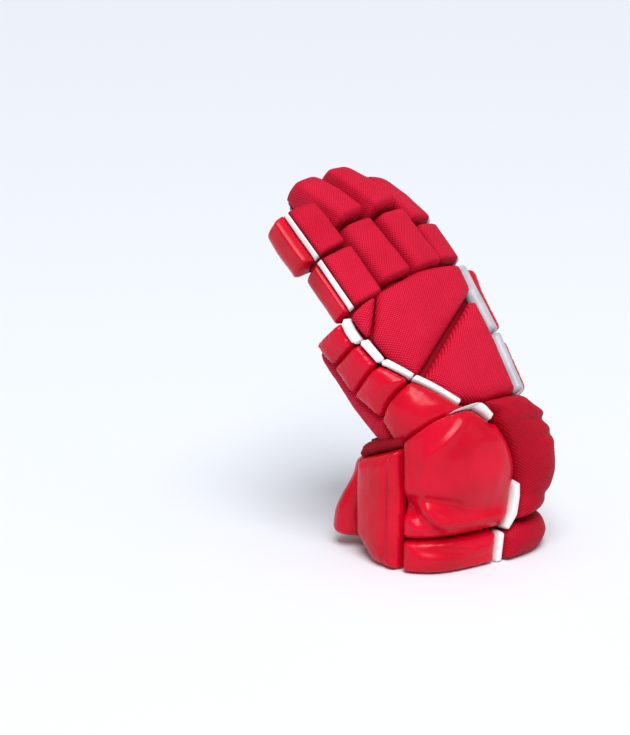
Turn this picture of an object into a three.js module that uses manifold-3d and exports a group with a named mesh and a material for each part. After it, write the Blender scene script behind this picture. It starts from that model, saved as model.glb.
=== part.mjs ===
import * as THREE from 'three';
import Module from 'manifold-3d';

// Ice hockey glove for the left hand, standing upright on its flared cuff.
// Millimetres. +X is the index side, +Y the palm side, -Y the back of the hand, +Z up.

const wasm = await Module();
wasm.setup();

// Driving dimensions
const ORIGIN_SHIFT = [1.5, -49.4, 0];
const WRIST_CENTRE = [3.2, -4.3, 104.8];
const HAND_FLEX = 39.5;
const HAND_DEVIATION = 7.3;
const HAND_END = 111;
const LITTLE_END = 100;
const WALL = 2.0;
const CUFF_HEIGHT = 105;
const CUFF_TOP_TILT = 18;
const CUFF_WALL = 2.5;
const PAD_GAP = 0.6;
const SEAT_GAP = 0.3;
const LINING_TOP = -0.32;
const HALF_ROUND = 150;
const CUFF_ROUND = 167;
const FINGER_ROUND = 36;
const HAND_SIDES = 28;
const HOLLOW_SIDES = 20;
const CUFF_SIDES = 22;
const STALL_SIDES = 10;
const STALL = { half: 11, back: 10, palm: 10 };
const ROLL = { half: 14.6, back: 21, palm: 13 };
const THUMB_STALL = { half: 13, back: 12, palm: 12 };
const THUMB_ROLL = { half: 18, back: 21, palm: 16 };

// Sections of the hand along its length: v from the wrist, centre offset, half width,
// depth to the back and to the palm, and how far the middle of the palm is cupped
const HAND_ROWS = [
  { v: -10, centre: 5, half: 45, back: 19, palm: 38, dip: 6 },
  { v: 0, centre: 5, half: 46, back: 19, palm: 40, dip: 6 },
  { v: 50, centre: 4.5, half: 54, back: 21, palm: 42, dip: 10 },
  { v: 90, centre: 2, half: 58, back: 23.5, palm: 40, dip: 14 },
  { v: 106, centre: 1, half: 59, back: 25.5, palm: 34, dip: 21 },
  { v: 116, centre: 1, half: 59, back: 26, palm: 22, dip: 17 },
];

// Fingers: top of the knuckle in hand axes, lean from vertical and sideways turn of both parts, lengths
const FINGERS = {
  little: { base: [-41.1, -29.3, 106.3], lean: [45.9, 45.9], turn: [8.2, 10.0], parts: [48.3, 46.5], slope: -18 },
  ring: { base: [-9.8, -37.1, 116.7], lean: [49.7, 65.6], turn: [9.0, 11.0], parts: [57.9, 49.6], slope: -5 },
  middle: { base: [21.4, -39.0, 116.6], lean: [47.2, 65.8], turn: [8.9, 11.6], parts: [56.6, 51.7], slope: 4 },
  index: { base: [51.1, -29.4, 118.0], lean: [44.7, 57.8], turn: [7.9, 11.5], parts: [37.7, 50.6], slope: 20 },
};

// Thumb: start in hand axes, directions of both parts in hand axes, lengths, and the way its back faces
const THUMB = {
  start: [37, 32, 28],
  along: [[0.22, 0.60, 0.77], [-0.06, 0.58, 0.81]],
  parts: [44, 40],
  back: [0.93, -0.30, 0.10],
};

// Colours
const RED_LEATHER = { color: 0xb5101e, roughness: 0.42, metalness: 0 };
const RED_MESH = { color: 0xa80f1d, roughness: 0.7, metalness: 0 };
const RED_FABRIC = { color: 0x8f0d18, roughness: 0.8, metalness: 0 };
const WHITE = { color: 0xf0efee, roughness: 0.5, metalness: 0 };
const SILVER = { color: 0xd8dade, roughness: 0.3, metalness: 0.2 };
const GREY_PALM = { color: 0x8b8d90, roughness: 0.9, metalness: 0 };
const BLACK_LINING = { color: 0x16161a, roughness: 0.9, metalness: 0 };

// Pads on the hand: corners as (u round the hand from the middle of the back, v along it)
const HAND_PADS = {
  back_panel_main: { look: RED_MESH, thick: 10.5, lift: 1.8, points: 24,
    corners: [[-30, 106.5], [12, 113], [50, 110.5], [47, 88], [-43, 39], [-49.5, 60], [-50.5, 77], [-43.5, 86]] },
  back_panel_corner: { look: RED_MESH, thick: 10.5, points: 16,
    corners: [[46, 79], [42, 2], [10, 3], [-18.5, 12], [-37, 34]] },
  back_knuckle: { look: RED_MESH, thick: 9, points: 14,
    corners: [[-54, 99], [-45, 103], [-36.5, 103], [-44.5, 88], [-55, 80.5]] },
  index_edge_upper: { look: RED_LEATHER, thick: 17, points: 16,
    corners: [[64.5, 104], [60.5, 54], [80, 57], [83, 98], [76, 104]] },
  index_edge_lower: { look: RED_LEATHER, thick: 16, points: 16,
    corners: [[60, 51], [57, 2], [78, 2], [80, 53]] },
  index_piping_upper: { look: SILVER, thick: 12.5, points: 12, strip: true,
    corners: [[54.5, 109], [62.5, 107], [59, 53], [50.5, 53]] },
  index_piping_lower: { look: SILVER, thick: 12.5, points: 12, strip: true,
    corners: [[50.3, 51], [58.6, 51], [55.5, 2], [46, 2]] },
  side_roll_1: { look: RED_LEATHER, thick: 11.5, points: 16,
    corners: [[-62.5, 98.5], [-90, 99], [-82.5, 79], [-62.5, 81]] },
  side_roll_2: { look: RED_LEATHER, thick: 11.5, points: 16,
    corners: [[-59.5, 79], [-82, 77], [-82, 54.5], [-57.5, 60]] },
  side_roll_3: { look: RED_LEATHER, thick: 11.5, points: 16,
    corners: [[-57, 58], [-82, 52.5], [-72, 28], [-46.5, 38.5]] },
  side_roll_4: { look: RED_LEATHER, thick: 12, points: 16,
    corners: [[-48, 36], [-71.5, 26], [-78, 2], [-30, 2], [-27.5, 6.5]] },
  side_stripe_1: { look: WHITE, thick: 11.5, points: 12, strip: true,
    corners: [[-56.8, 98], [-61.6, 98.5], [-61.6, 81], [-57.2, 80.5]] },
  side_stripe_2: { look: WHITE, thick: 11.5, points: 12, strip: true,
    corners: [[-53.8, 78.5], [-58.6, 79], [-56.6, 60], [-52, 59.5]] },
  side_stripe_3: { look: WHITE, thick: 11.5, points: 12, strip: true,
    corners: [[-51.6, 57.5], [-56, 57.5], [-45.8, 38], [-42.5, 38.5]] },
  side_stripe_4: { look: WHITE, thick: 11.5, points: 12, strip: true,
    corners: [[-42, 38.5], [-46, 36.5], [-26, 7.5], [-20.5, 10.5]] },
  palm_edge_band: { look: RED_MESH, thick: 14, points: 16,
    corners: [[-93, 98], [-85.5, 77], [-84.5, 54], [-75, 27], [-80.5, 6], [-106, 10], [-112, 60], [-109, 97]] },
};

// Pads on the cuff: corners as (u round the cuff from the middle of the back, v up from the rim)
const CUFF_PADS = {
  cuff_pad_outer: { look: RED_LEATHER, thick: 13, points: 22,
    corners: [[-59.5, 90], [-58, 0], [-80, 0], [-101, 18], [-106, 86], [-102, 90]] },
  cuff_pad_round: { look: RED_LEATHER, thick: 16, lift: 0.3, points: 22, tall: true,
    corners: [[-56.5, 26], [-57.5, 96], [-47, 112], [-31, 114], [-13, 109], [0.5, 97.5], [16, 75], [22, 51], [19, 34], [9.5, 25]] },
  cuff_pad_lower: { look: RED_LEATHER, thick: 13, points: 18,
    corners: [[-56, 23], [-56, 0], [7.4, 0], [7.6, 22]] },
  cuff_stripe_lower: { look: WHITE, thick: 13.5, points: 12, strip: true,
    corners: [[8.1, 20], [8.1, 0], [14.2, 0], [13.6, 20]] },
  cuff_mesh_lower: { look: RED_MESH, thick: 14, points: 18,
    corners: [[14.8, 19], [14.8, 0], [62, 0], [64, 23], [27, 23]] },
  cuff_side_pad: { look: RED_LEATHER, thick: 13, points: 22,
    corners: [[66, 90], [65.5, 0], [102, 0], [104, 86]] },
  cuff_tab_outer: { look: RED_LEATHER, thick: 23, points: 18,
    corners: [[-108, 84], [-108, 14], [-113, 9], [-124, 9], [-127, 14], [-126, 80], [-121, 85]] },
  cuff_tab_thumb: { look: RED_LEATHER, thick: 15, points: 18,
    corners: [[108, 82], [108, 6], [128, 6], [128, 78]] },
  cuff_palm_pad: { look: RED_LEATHER, thick: 8, points: 20,
    corners: [[131, 36], [131, 0], [203, 0], [203, 36]] },
};

// White band round the edge of the round pad: its middle line on the cuff, half its width and its
// thickness; between its two wide parts it runs deep in the seam
const ROUND_BAND = [
  { u: -28, v: 115.9, half: 1.2, thick: 14.5 },
  { u: -11.2, v: 112, half: 2.2, thick: 14.5 },
  { u: 4.2, v: 99.5, half: 2.6, thick: 14.5 },
  { u: 9.5, v: 93, half: 2.4, thick: 14.5 },
  { u: 12, v: 89, half: 0.9, thick: 5 },
  { u: 24.6, v: 58.5, half: 0.9, thick: 5 },
  { u: 26, v: 54, half: 2.7, thick: 14.5 },
  { u: 26.4, v: 45, half: 3, thick: 14.5 },
  { u: 23.8, v: 32, half: 3, thick: 14.5 },
  { u: 13.8, v: 22.6, half: 1.8, thick: 14.5 },
];

const RAD = Math.PI / 180;
const add = (a, b, k = 1) => [a[0] + b[0] * k, a[1] + b[1] * k, a[2] + b[2] * k];
const mix = (a, b, t) => [a[0] + (b[0] - a[0]) * t, a[1] + (b[1] - a[1]) * t, a[2] + (b[2] - a[2]) * t];
const dot = (a, b) => a[0] * b[0] + a[1] * b[1] + a[2] * b[2];
const cross = (a, b) => [a[1] * b[2] - a[2] * b[1], a[2] * b[0] - a[0] * b[2], a[0] * b[1] - a[1] * b[0]];
const unit = (a) => { const k = Math.hypot(...a); return [a[0] / k, a[1] / k, a[2] / k]; };
const smooth = (a, b, x) => { const t = Math.min(1, Math.max(0, (x - a) / (b - a))); return t * t * (3 - 2 * t); };

// Axes of a limb that leans by `lean` degrees toward the palm side and turns by `turn` degrees
function limbAxes(lean, turn) {
  const p = lean * RAD;
  const d = turn * RAD;
  const along = [-Math.sin(d), Math.cos(d) * Math.sin(p), Math.cos(d) * Math.cos(p)];
  const side = [Math.cos(d), Math.sin(d) * Math.sin(p), Math.sin(d) * Math.cos(p)];
  return { side, palm: cross(along, side), along };
}

// Rounded section curve by arc length: u runs from the back (0) to the palm (+round or -round)
const sectionCache = new Map();
function sectionTable(half, back, palm, nBack, nPalm) {
  const key = [half, back, palm, nBack, nPalm].map((x) => x.toFixed(2)).join(',');
  if (sectionCache.has(key)) return sectionCache.get(key);
  const count = 160;
  const xs = [];
  const ys = [];
  const arc = [0];
  for (let i = 0; i <= count; i++) {
    const t = Math.PI * i / count;
    const c = Math.cos(t);
    const n = c > 0 ? nBack : nPalm;
    xs.push(half * Math.abs(Math.sin(t)) ** (2 / n));
    ys.push(-Math.sign(c) * Math.abs(c) ** (2 / n) * (c > 0 ? back : palm));
    if (i) arc.push(arc[i - 1] + Math.hypot(xs[i] - xs[i - 1], ys[i] - ys[i - 1]));
  }
  const table = { xs, ys, arc: arc.map((a) => a / arc[count]) };
  sectionCache.set(key, table);
  return table;
}
function sectionPoint(table, f) {
  let g = f;
  let flip = 1;
  if (g < 0) { g = -g; flip = -flip; }
  if (g > 1) { g = 2 - g; flip = -flip; }
  const { xs, ys, arc } = table;
  let i = 1;
  while (i < arc.length - 1 && arc[i] < g) i++;
  const t = (g - arc[i - 1]) / (arc[i] - arc[i - 1]);
  return [flip * (xs[i - 1] + (xs[i] - xs[i - 1]) * t), ys[i - 1] + (ys[i] - ys[i - 1]) * t];
}
function section(u, round, size) {
  const table = sectionTable(size.half, size.back, size.palm, size.nBack ?? 3, size.nPalm ?? 3.6);
  let f = u / round;
  while (f > 1) f -= 2;
  while (f < -1) f += 2;
  const at = sectionPoint(table, f);
  const a = sectionPoint(table, f - 0.02);
  const b = sectionPoint(table, f + 0.02);
  const k = Math.hypot(b[0] - a[0], b[1] - a[1]);
  return { x: at[0], y: at[1], nx: (b[1] - a[1]) / k, ny: -(b[0] - a[0]) / k };
}

// Hand surface: h is the height above the lining
const hand = limbAxes(HAND_FLEX, HAND_DEVIATION);
function handRow(v) {
  let i = 1;
  while (i < HAND_ROWS.length - 1 && HAND_ROWS[i].v < v) i++;
  const a = HAND_ROWS[i - 1];
  const b = HAND_ROWS[i];
  const t = Math.min(1.2, Math.max(0, (v - a.v) / (b.v - a.v)));
  const row = {};
  for (const k of ['centre', 'half', 'back', 'palm', 'dip']) row[k] = a[k] + (b[k] - a[k]) * t;
  return row;
}
const handPlace = (x, y, z) => add(add(add(WRIST_CENTRE, hand.side, x), hand.palm, y), hand.along, z);
function handAt(u, v, h) {
  const row = handRow(v);
  const s = section(u, HALF_ROUND, row);
  const cup = row.dip * smooth(0, row.palm, s.y) * (1 - smooth(0.45 * row.half, 0.95 * row.half, Math.abs(s.x)));
  return handPlace(row.centre + s.x + s.nx * h, s.y + s.ny * h - cup, v);
}

// Cuff surface: from the level rim up to the tilted top
const CUFF_RIM = { half: 57, back: 37, palm: 60, nBack: 3.2, nPalm: 3.4, centre: [7, 10, 0] };
const CUFF_TOP = { half: 53, back: 31, palm: 58, nBack: 3.2, nPalm: 3.4, centre: [8, 9, 104] };
function cuffAt(u, v, h) {
  const t = v / CUFF_HEIGHT;
  const lower = section(u, CUFF_ROUND, CUFF_RIM);
  const upper = section(u, CUFF_ROUND, CUFF_TOP);
  const c = Math.cos(CUFF_TOP_TILT * RAD);
  const s = Math.sin(CUFF_TOP_TILT * RAD);
  const a = add(CUFF_RIM.centre, [lower.x, lower.y, 0]);
  const b = add(CUFF_TOP.centre, [upper.x, upper.y * c, -upper.y * s]);
  const n = unit(mix([lower.nx, lower.ny, 0], [upper.nx, upper.ny * c, -upper.ny * s], t));
  return add(mix(a, b, t), n, h);
}

// Finger centre line, walked in short steps with a soft bend at the joint
function limbPath(start, first, second, parts, bend) {
  const rows = [];
  let p = add(start, first.along, -24);
  for (let s = -24; s <= parts[0] + parts[1] + 12; s++) {
    const t = smooth(parts[0] - bend, parts[0] + bend, s);
    const along = unit(mix(first.along, second.along, t));
    const palm0 = mix(first.palm, second.palm, t);
    const palm = unit(add(palm0, along, -dot(palm0, along)));
    rows.push({ p, along, palm, side: cross(palm, along) });
    p = add(p, along, 1);
  }
  return { rows, length: parts[0] + parts[1], joint: parts[0] };
}
function limbFrame(path, s) {
  const f = Math.min(path.rows.length - 1.001, Math.max(0, s + 24));
  const i = Math.floor(f);
  const a = path.rows[i];
  return { p: add(a.p, a.along, f - i), side: a.side, palm: a.palm };
}
// Stall surface of a finger with height h in mm
function stallAt(path, size, u, s, h) {
  const fr = limbFrame(path, s);
  const taper = 1 - 0.12 * smooth(path.length - 26, path.length, s);
  const q = section(u, FINGER_ROUND, { ...size, nBack: 2.6, nPalm: 2.6 });
  return add(add(fr.p, fr.side, q.x * taper + q.nx * h), fr.palm, q.y * taper + q.ny * h);
}
// Roll surface of a finger: k from 0 just above the stall to 1 at the top of the roll
function rollAt(path, stall, roll, slope, u, s, k, gap = PAD_GAP) {
  const low = stallAt(path, stall, u, s, gap);
  const fr = limbFrame(path, s);
  const taper = 1 - 0.1 * smooth(path.length - 22, path.length + 4, s);
  const q = section(u, FINGER_ROUND, { ...roll, nBack: 5, nPalm: 3 });
  const lift = q.x * Math.tan(slope * RAD) * smooth(0, roll.back, -q.y);
  const extra = k > 1 ? (k - 1) * 10 : 0;
  const top = add(add(fr.p, fr.side, q.x * taper + q.nx * extra), fr.palm, (q.y + lift) * taper + q.ny * extra);
  return mix(low, top, Math.min(k, 1));
}

// Mesh helpers
function makeGeometry(points, faces) {
  let volume = 0;
  for (const [a, b, c] of faces) volume += dot(points[a], cross(points[b], points[c]));
  const geometry = new THREE.BufferGeometry();
  geometry.setAttribute('position', new THREE.Float32BufferAttribute(points.flat(), 3));
  geometry.setIndex(volume < 0 ? faces.map(([a, b, c]) => [a, c, b]).flat() : faces.flat());
  return geometry;
}
// Closed solid through rings with the same number of points, closed by a fan at each end
function loft(rings) {
  const n = rings[0].length;
  const points = rings.flat();
  const faces = [];
  for (let k = 0; k < rings.length - 1; k++) {
    for (let i = 0; i < n; i++) {
      const j = (i + 1) % n;
      faces.push([k * n + i, k * n + j, (k + 1) * n + j], [k * n + i, (k + 1) * n + j, (k + 1) * n + i]);
    }
  }
  const centre = (ring) => ring.reduce((a, b) => add(a, b), [0, 0, 0]).map((x) => x / n);
  const first = points.push(centre(rings[0])) - 1;
  const last = points.push(centre(rings[rings.length - 1])) - 1;
  const base = (rings.length - 1) * n;
  for (let i = 0; i < n; i++) {
    const j = (i + 1) % n;
    faces.push([first, j, i], [last, base + i, base + j]);
  }
  return makeGeometry(points, faces);
}
// Outline with rounded corners, resampled to a number of points
function outlinePoints(corners, radius, count) {
  const dense = [];
  const m = corners.length;
  for (let i = 0; i < m; i++) {
    const p = corners[i];
    const a = corners[(i + m - 1) % m];
    const b = corners[(i + 1) % m];
    const la = Math.hypot(a[0] - p[0], a[1] - p[1]);
    const lb = Math.hypot(b[0] - p[0], b[1] - p[1]);
    const r = Math.min(radius, la * 0.45, lb * 0.45);
    const s = [p[0] + (a[0] - p[0]) * r / la, p[1] + (a[1] - p[1]) * r / la];
    const e = [p[0] + (b[0] - p[0]) * r / lb, p[1] + (b[1] - p[1]) * r / lb];
    for (let k = 0; k <= 6; k++) {
      const t = k / 6;
      dense.push([0, 1].map((c) => s[c] * (1 - t) ** 2 + 2 * p[c] * t * (1 - t) + e[c] * t * t));
    }
  }
  const arc = [0];
  for (let i = 1; i <= dense.length; i++) {
    const a = dense[i - 1];
    const b = dense[i % dense.length];
    arc.push(arc[i - 1] + Math.hypot(a[0] - b[0], a[1] - b[1]));
  }
  const out = [];
  for (let k = 0; k < count; k++) {
    const want = arc[arc.length - 1] * k / count;
    let i = 1;
    while (arc[i] < want) i++;
    const t = (want - arc[i - 1]) / Math.max(arc[i] - arc[i - 1], 1e-9);
    const a = dense[i - 1];
    const b = dense[i % dense.length];
    out.push([a[0] + (b[0] - a[0]) * t, a[1] + (b[1] - a[1]) * t]);
  }
  return out;
}
// Same outline drawn in along its own long and short directions
function drawnIn(outline, inset) {
  const n = outline.length;
  const c = [0, 1].map((k) => outline.reduce((a, p) => a + p[k], 0) / n);
  let xx = 0;
  let yy = 0;
  let xy = 0;
  for (const p of outline) {
    xx += (p[0] - c[0]) ** 2;
    yy += (p[1] - c[1]) ** 2;
    xy += (p[0] - c[0]) * (p[1] - c[1]);
  }
  const a = 0.5 * Math.atan2(2 * xy, xx - yy);
  const e = [Math.cos(a), Math.sin(a)];
  const f = [-e[1], e[0]];
  const local = outline.map((p) => [(p[0] - c[0]) * e[0] + (p[1] - c[1]) * e[1], (p[0] - c[0]) * f[0] + (p[1] - c[1]) * f[1]]);
  const reach = [0, 1].map((k) => Math.max(...local.map((p) => Math.abs(p[k]))));
  const scale = (k) => (inset.ratio ?? 1) * Math.max(0.25, 1 - (inset.mm ?? 0) / reach[k]);
  return local.map((p) => {
    const x = p[0] * scale(0);
    const y = p[1] * scale(1);
    return [c[0] + e[0] * x + f[0] * y, c[1] + e[1] * x + f[1] * y];
  });
}
// Cushion on a surface: rounded outline, straight lower side, softly crowned top
function cushion(at, spec) {
  const outline = outlinePoints(spec.corners, spec.radius ?? 5, spec.points);
  const H = spec.thick;
  const low = PAD_GAP + (spec.lift ?? 0);
  let steps = [[{ ratio: 0.4 }, low + 1.6], [{ ratio: 0.8 }, low + 0.8], [{ mm: 0 }, low], [{ mm: 0 }, H * 0.6],
    [{ mm: 1.6 }, H * 0.87], [{ mm: 4.5 }, H], [{ mm: 4.5, ratio: 0.55 }, H * 1.06]];
  if (spec.strip) steps = [[{ mm: 0 }, low], [{ mm: 0 }, H * 0.8], [{ mm: 1.2 }, H]];
  return loft(steps.map(([inset, h]) => drawnIn(outline, inset).map(([u, v]) => at(u, v, h))));
}
// Box-like finger roll on a grid of stations round the finger and along it
function rollBlock(at, us, ss, heights) {
  const points = [];
  const faces = [];
  const nu = us.length;
  const ns = ss.length;
  const index = (side, i, j) => side * nu * ns + j * nu + i;
  for (const side of [0, 1]) {
    for (let j = 0; j < ns; j++) {
      for (let i = 0; i < nu; i++) {
        const edge = (i === 0 || i === nu - 1) ? heights.side : 1;
        const end = (j === 0 || j === ns - 1) ? heights.end : 1;
        points.push(at(us[i], ss[j], side ? heights.top * Math.min(edge, end) : 0));
      }
    }
  }
  for (let j = 0; j < ns - 1; j++) {
    for (let i = 0; i < nu - 1; i++) {
      faces.push([index(1, i, j), index(1, i + 1, j), index(1, i + 1, j + 1)]);
      faces.push([index(1, i, j), index(1, i + 1, j + 1), index(1, i, j + 1)]);
      faces.push([index(0, i, j), index(0, i + 1, j + 1), index(0, i + 1, j)]);
      faces.push([index(0, i, j), index(0, i, j + 1), index(0, i + 1, j + 1)]);
    }
  }
  for (let i = 0; i < nu - 1; i++) {
    faces.push([index(0, i, 0), index(0, i + 1, 0), index(1, i + 1, 0)], [index(0, i, 0), index(1, i + 1, 0), index(1, i, 0)]);
    faces.push([index(0, i, ns - 1), index(1, i + 1, ns - 1), index(0, i + 1, ns - 1)]);
    faces.push([index(0, i, ns - 1), index(1, i, ns - 1), index(1, i + 1, ns - 1)]);
  }
  for (let j = 0; j < ns - 1; j++) {
    faces.push([index(0, 0, j), index(1, 0, j), index(1, 0, j + 1)], [index(0, 0, j), index(1, 0, j + 1), index(0, 0, j + 1)]);
    faces.push([index(0, nu - 1, j), index(1, nu - 1, j + 1), index(1, nu - 1, j)]);
    faces.push([index(0, nu - 1, j), index(0, nu - 1, j + 1), index(1, nu - 1, j + 1)]);
  }
  return makeGeometry(points, faces);
}

// Boolean helpers
function toSolid(geometry) {
  return new wasm.Manifold(new wasm.Mesh({
    numProp: 3,
    vertProperties: new Float32Array(geometry.attributes.position.array),
    triVerts: new Uint32Array(geometry.index.array),
  }));
}
function fromSolid(solid) {
  const mesh = solid.getMesh();
  const geometry = new THREE.BufferGeometry();
  geometry.setAttribute('position', new THREE.Float32BufferAttribute(Array.from(mesh.vertProperties), 3));
  geometry.setIndex(Array.from(mesh.triVerts));
  return geometry;
}
// Big block on one side of a plane square to the hand's length, `level` mm from the wrist
function block(level, above) {
  const size = 400;
  const box = new THREE.BoxGeometry(size, size, size);
  const basis = new THREE.Matrix4().makeBasis(
    new THREE.Vector3(...hand.side), new THREE.Vector3(...hand.palm), new THREE.Vector3(...hand.along));
  box.applyMatrix4(basis);
  const c = handPlace(0, 0, level + (above ? size / 2 : -size / 2));
  box.translate(...c);
  const seen = new Map();
  const points = [];
  const remap = [];
  const pos = box.attributes.position;
  for (let i = 0; i < pos.count; i++) {
    const p = [pos.getX(i), pos.getY(i), pos.getZ(i)];
    const key = p.map((x) => x.toFixed(3)).join(',');
    if (!seen.has(key)) seen.set(key, points.push(p) - 1);
    remap.push(seen.get(key));
  }
  const faces = [];
  for (let i = 0; i < box.index.count; i += 3) {
    faces.push([0, 1, 2].map((k) => remap[box.index.getX(i + k)]));
  }
  return toSolid(makeGeometry(points, faces));
}

// Paths of the fingers and thumb
const paths = {};
for (const [name, f] of Object.entries(FINGERS)) {
  const first = limbAxes(f.lean[0], f.turn[0]);
  const second = limbAxes(f.lean[1], f.turn[1]);
  const shorten = ROLL.back * Math.tan((f.lean[1] - f.lean[0]) / 2 * RAD);
  const start = add(handPlace(...f.base), first.palm, ROLL.back);
  paths[name] = limbPath(start, first, second, f.parts.map((x) => x - shorten), 8);
}
const toWorld = (d) => unit(add(add(add([0, 0, 0], hand.side, d[0]), hand.palm, d[1]), hand.along, d[2]));
const thumbBack = toWorld(THUMB.back);
const thumbAxes = THUMB.along.map((d) => {
  const along = toWorld(d);
  const palm = unit(add(thumbBack.map((x) => -x), along, dot(thumbBack, along)));
  return { along, palm, side: cross(palm, along) };
});
paths.thumb = limbPath(handPlace(...THUMB.start), thumbAxes[0], thumbAxes[1], THUMB.parts, 10);

// Linings: a hand bag that is open at the wrist, with a hole into each of five hollow stalls
const around = (n, round) => Array.from({ length: n }, (_, i) => -round + 2 * round * i / n);
function handEnd(u, end) {
  const row = handRow(100);
  const x = row.centre + section(u, HALF_ROUND, row).x;
  return end - (HAND_END - LITTLE_END) * (1 - smooth(-42, -14, x));
}
function handBag(h, startV, end, count) {
  const parts = [0, 0.25, 0.5, 0.75, 0.93, 1];
  const rings = parts.map((t, k) => around(count, HALF_ROUND).map((u) => {
    const v = startV + (handEnd(u, end) - startV) * t;
    return handAt(u, v, k === parts.length - 1 ? h - 5 : h);
  }));
  return toSolid(loft(rings));
}
function stallBag(name, size, h, count = STALL_SIDES) {
  const path = paths[name];
  const L = path.length;
  const stops = [name === 'thumb' ? -2 : -7, path.joint - 7, path.joint + 7, L - 16, L - 7, L - 4];
  const shrink = [-1, 0, 0, 0, -1.2, -5.5];
  const rings = stops.map((s, k) => around(count, FINGER_ROUND).map((u) => (
    stallAt(path, size, u, s + (k > 3 ? h : 0), h + shrink[k]))));
  return toSolid(loft(rings));
}
const hollow = handBag(LINING_TOP - WALL, -6, HAND_END - WALL, HOLLOW_SIDES);
const besideHand = handBag(LINING_TOP + SEAT_GAP, 0, HAND_END + SEAT_GAP, HAND_SIDES);
const linings = { hand: handBag(LINING_TOP, 0, HAND_END, HAND_SIDES).subtract(hollow).subtract(block(0, false)) };
for (const name of [...Object.keys(FINGERS), 'thumb']) {
  const size = name === 'thumb' ? THUMB_STALL : STALL;
  const inside = stallBag(name, size, -WALL, 8);
  linings.hand = linings.hand.subtract(inside);
  linings[name] = stallBag(name, size, LINING_TOP).subtract(inside).subtract(besideHand);
}

// Cuff lining: open tube, closed round the wrist by a plate with a hole for the hand
const tube = (h, from, to, rise = 0) => toSolid(loft([from, (from + to) / 2, to].map((v, k) => (
  around(CUFF_SIDES, CUFF_ROUND).map((u) => cuffAt(u, v + (k === 2 ? rise * (1 - smooth(50, 100, Math.abs(u))) : 0), h))))));
const cuffHollow = tube(LINING_TOP - CUFF_WALL, -8, 150);
const handRoom = handBag(0.4, -1.2, 60, HAND_SIDES).add(handBag(16, 1, 60, HOLLOW_SIDES));
const cuffLining = tube(LINING_TOP, 3, 98, 14).subtract(cuffHollow).subtract(handRoom);
const wristPlate = tube(LINING_TOP - CUFF_WALL + 0.4, -8, 150)
  .subtract(block(-1.2, true)).subtract(block(-3.2, false)).subtract(hollow);
const aboveWrist = block(0.8, true);

// Scene
const group = new THREE.Group();
function place(name, geometry, look) {
  geometry.computeVertexNormals();
  const mesh = new THREE.Mesh(geometry, new THREE.MeshStandardMaterial({ ...look, flatShading: true }));
  mesh.name = name;
  group.add(mesh);
}
for (const [name, solid] of Object.entries(linings)) place(`${name}_lining`, fromSolid(solid), RED_FABRIC);
place('cuff_lining', fromSolid(cuffLining.add(wristPlate)), BLACK_LINING);
for (const [name, spec] of Object.entries(HAND_PADS)) {
  place(name, cushion(handAt, spec), spec.look);
}
for (const [name, spec] of Object.entries(CUFF_PADS)) {
  const solid = toSolid(cushion(cuffAt, spec));
  place(name, fromSolid(spec.tall ? solid.subtract(aboveWrist) : solid), spec.look);
}

// White band on the cuff, laid along its middle line and trimmed at the wrist
const lastRow = ROUND_BAND.length - 1;
const bandAt = (w, i, k) => {
  const at = ROUND_BAND[i];
  const a = ROUND_BAND[Math.max(0, i - 1)];
  const b = ROUND_BAND[Math.min(lastRow, i + 1)];
  const run = Math.hypot(b.u - a.u, b.v - a.v);
  const out = w * at.half;
  return cuffAt(at.u - out * (b.v - a.v) / run, at.v + out * (b.u - a.u) / run, PAD_GAP + (at.thick - PAD_GAP) * k);
};
const roundBand = toSolid(rollBlock(bandAt, [-1, -0.7, 0.7, 1], ROUND_BAND.map((row, i) => i),
  { side: 0.92, end: 0.92, top: 1 }));
place('cuff_stripe_round', fromSolid(roundBand.subtract(aboveWrist)), WHITE);

// Palm: soft sheet that stops round the thumb
const palmAt = (u, v, k) => handAt(u, v, PAD_GAP + 1.9 * k);
const palmSheet = toSolid(rollBlock(palmAt, [113, 120, 129, 139, 150, 161, 171, 180, 186], [3, 28, 50, 70, 90, 98, 105],
  { side: 1, end: 1, top: 1 }));
place('palm_sheet', fromSolid(palmSheet.subtract(stallBag('thumb', THUMB_STALL, 4))), GREY_PALM);

// Mesh side of the cuff, cut round by the round pad and its stripes
const meshUpper = toSolid(cushion(cuffAt, { thick: 18.5, points: 24, radius: 8,
  corners: [[-20, 112], [42, 112], [61, 102], [64, 27], [10, 26], [-10, 60]] }));
const roundCutter = toSolid(loft([-4, 32].map((h) => outlinePoints(
  [[-62, 18], [-60, 100], [-40, 120], [-26, 119.5], [-8, 116.5], [8.6, 102], [16, 91], [29.5, 58], [31, 46], [28.5, 29], [15, 17]],
  9, 32).map(([u, v]) => cuffAt(u, v, h)))));
place('cuff_mesh_upper', fromSolid(meshUpper.subtract(roundCutter).subtract(aboveWrist)), RED_MESH);

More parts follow.
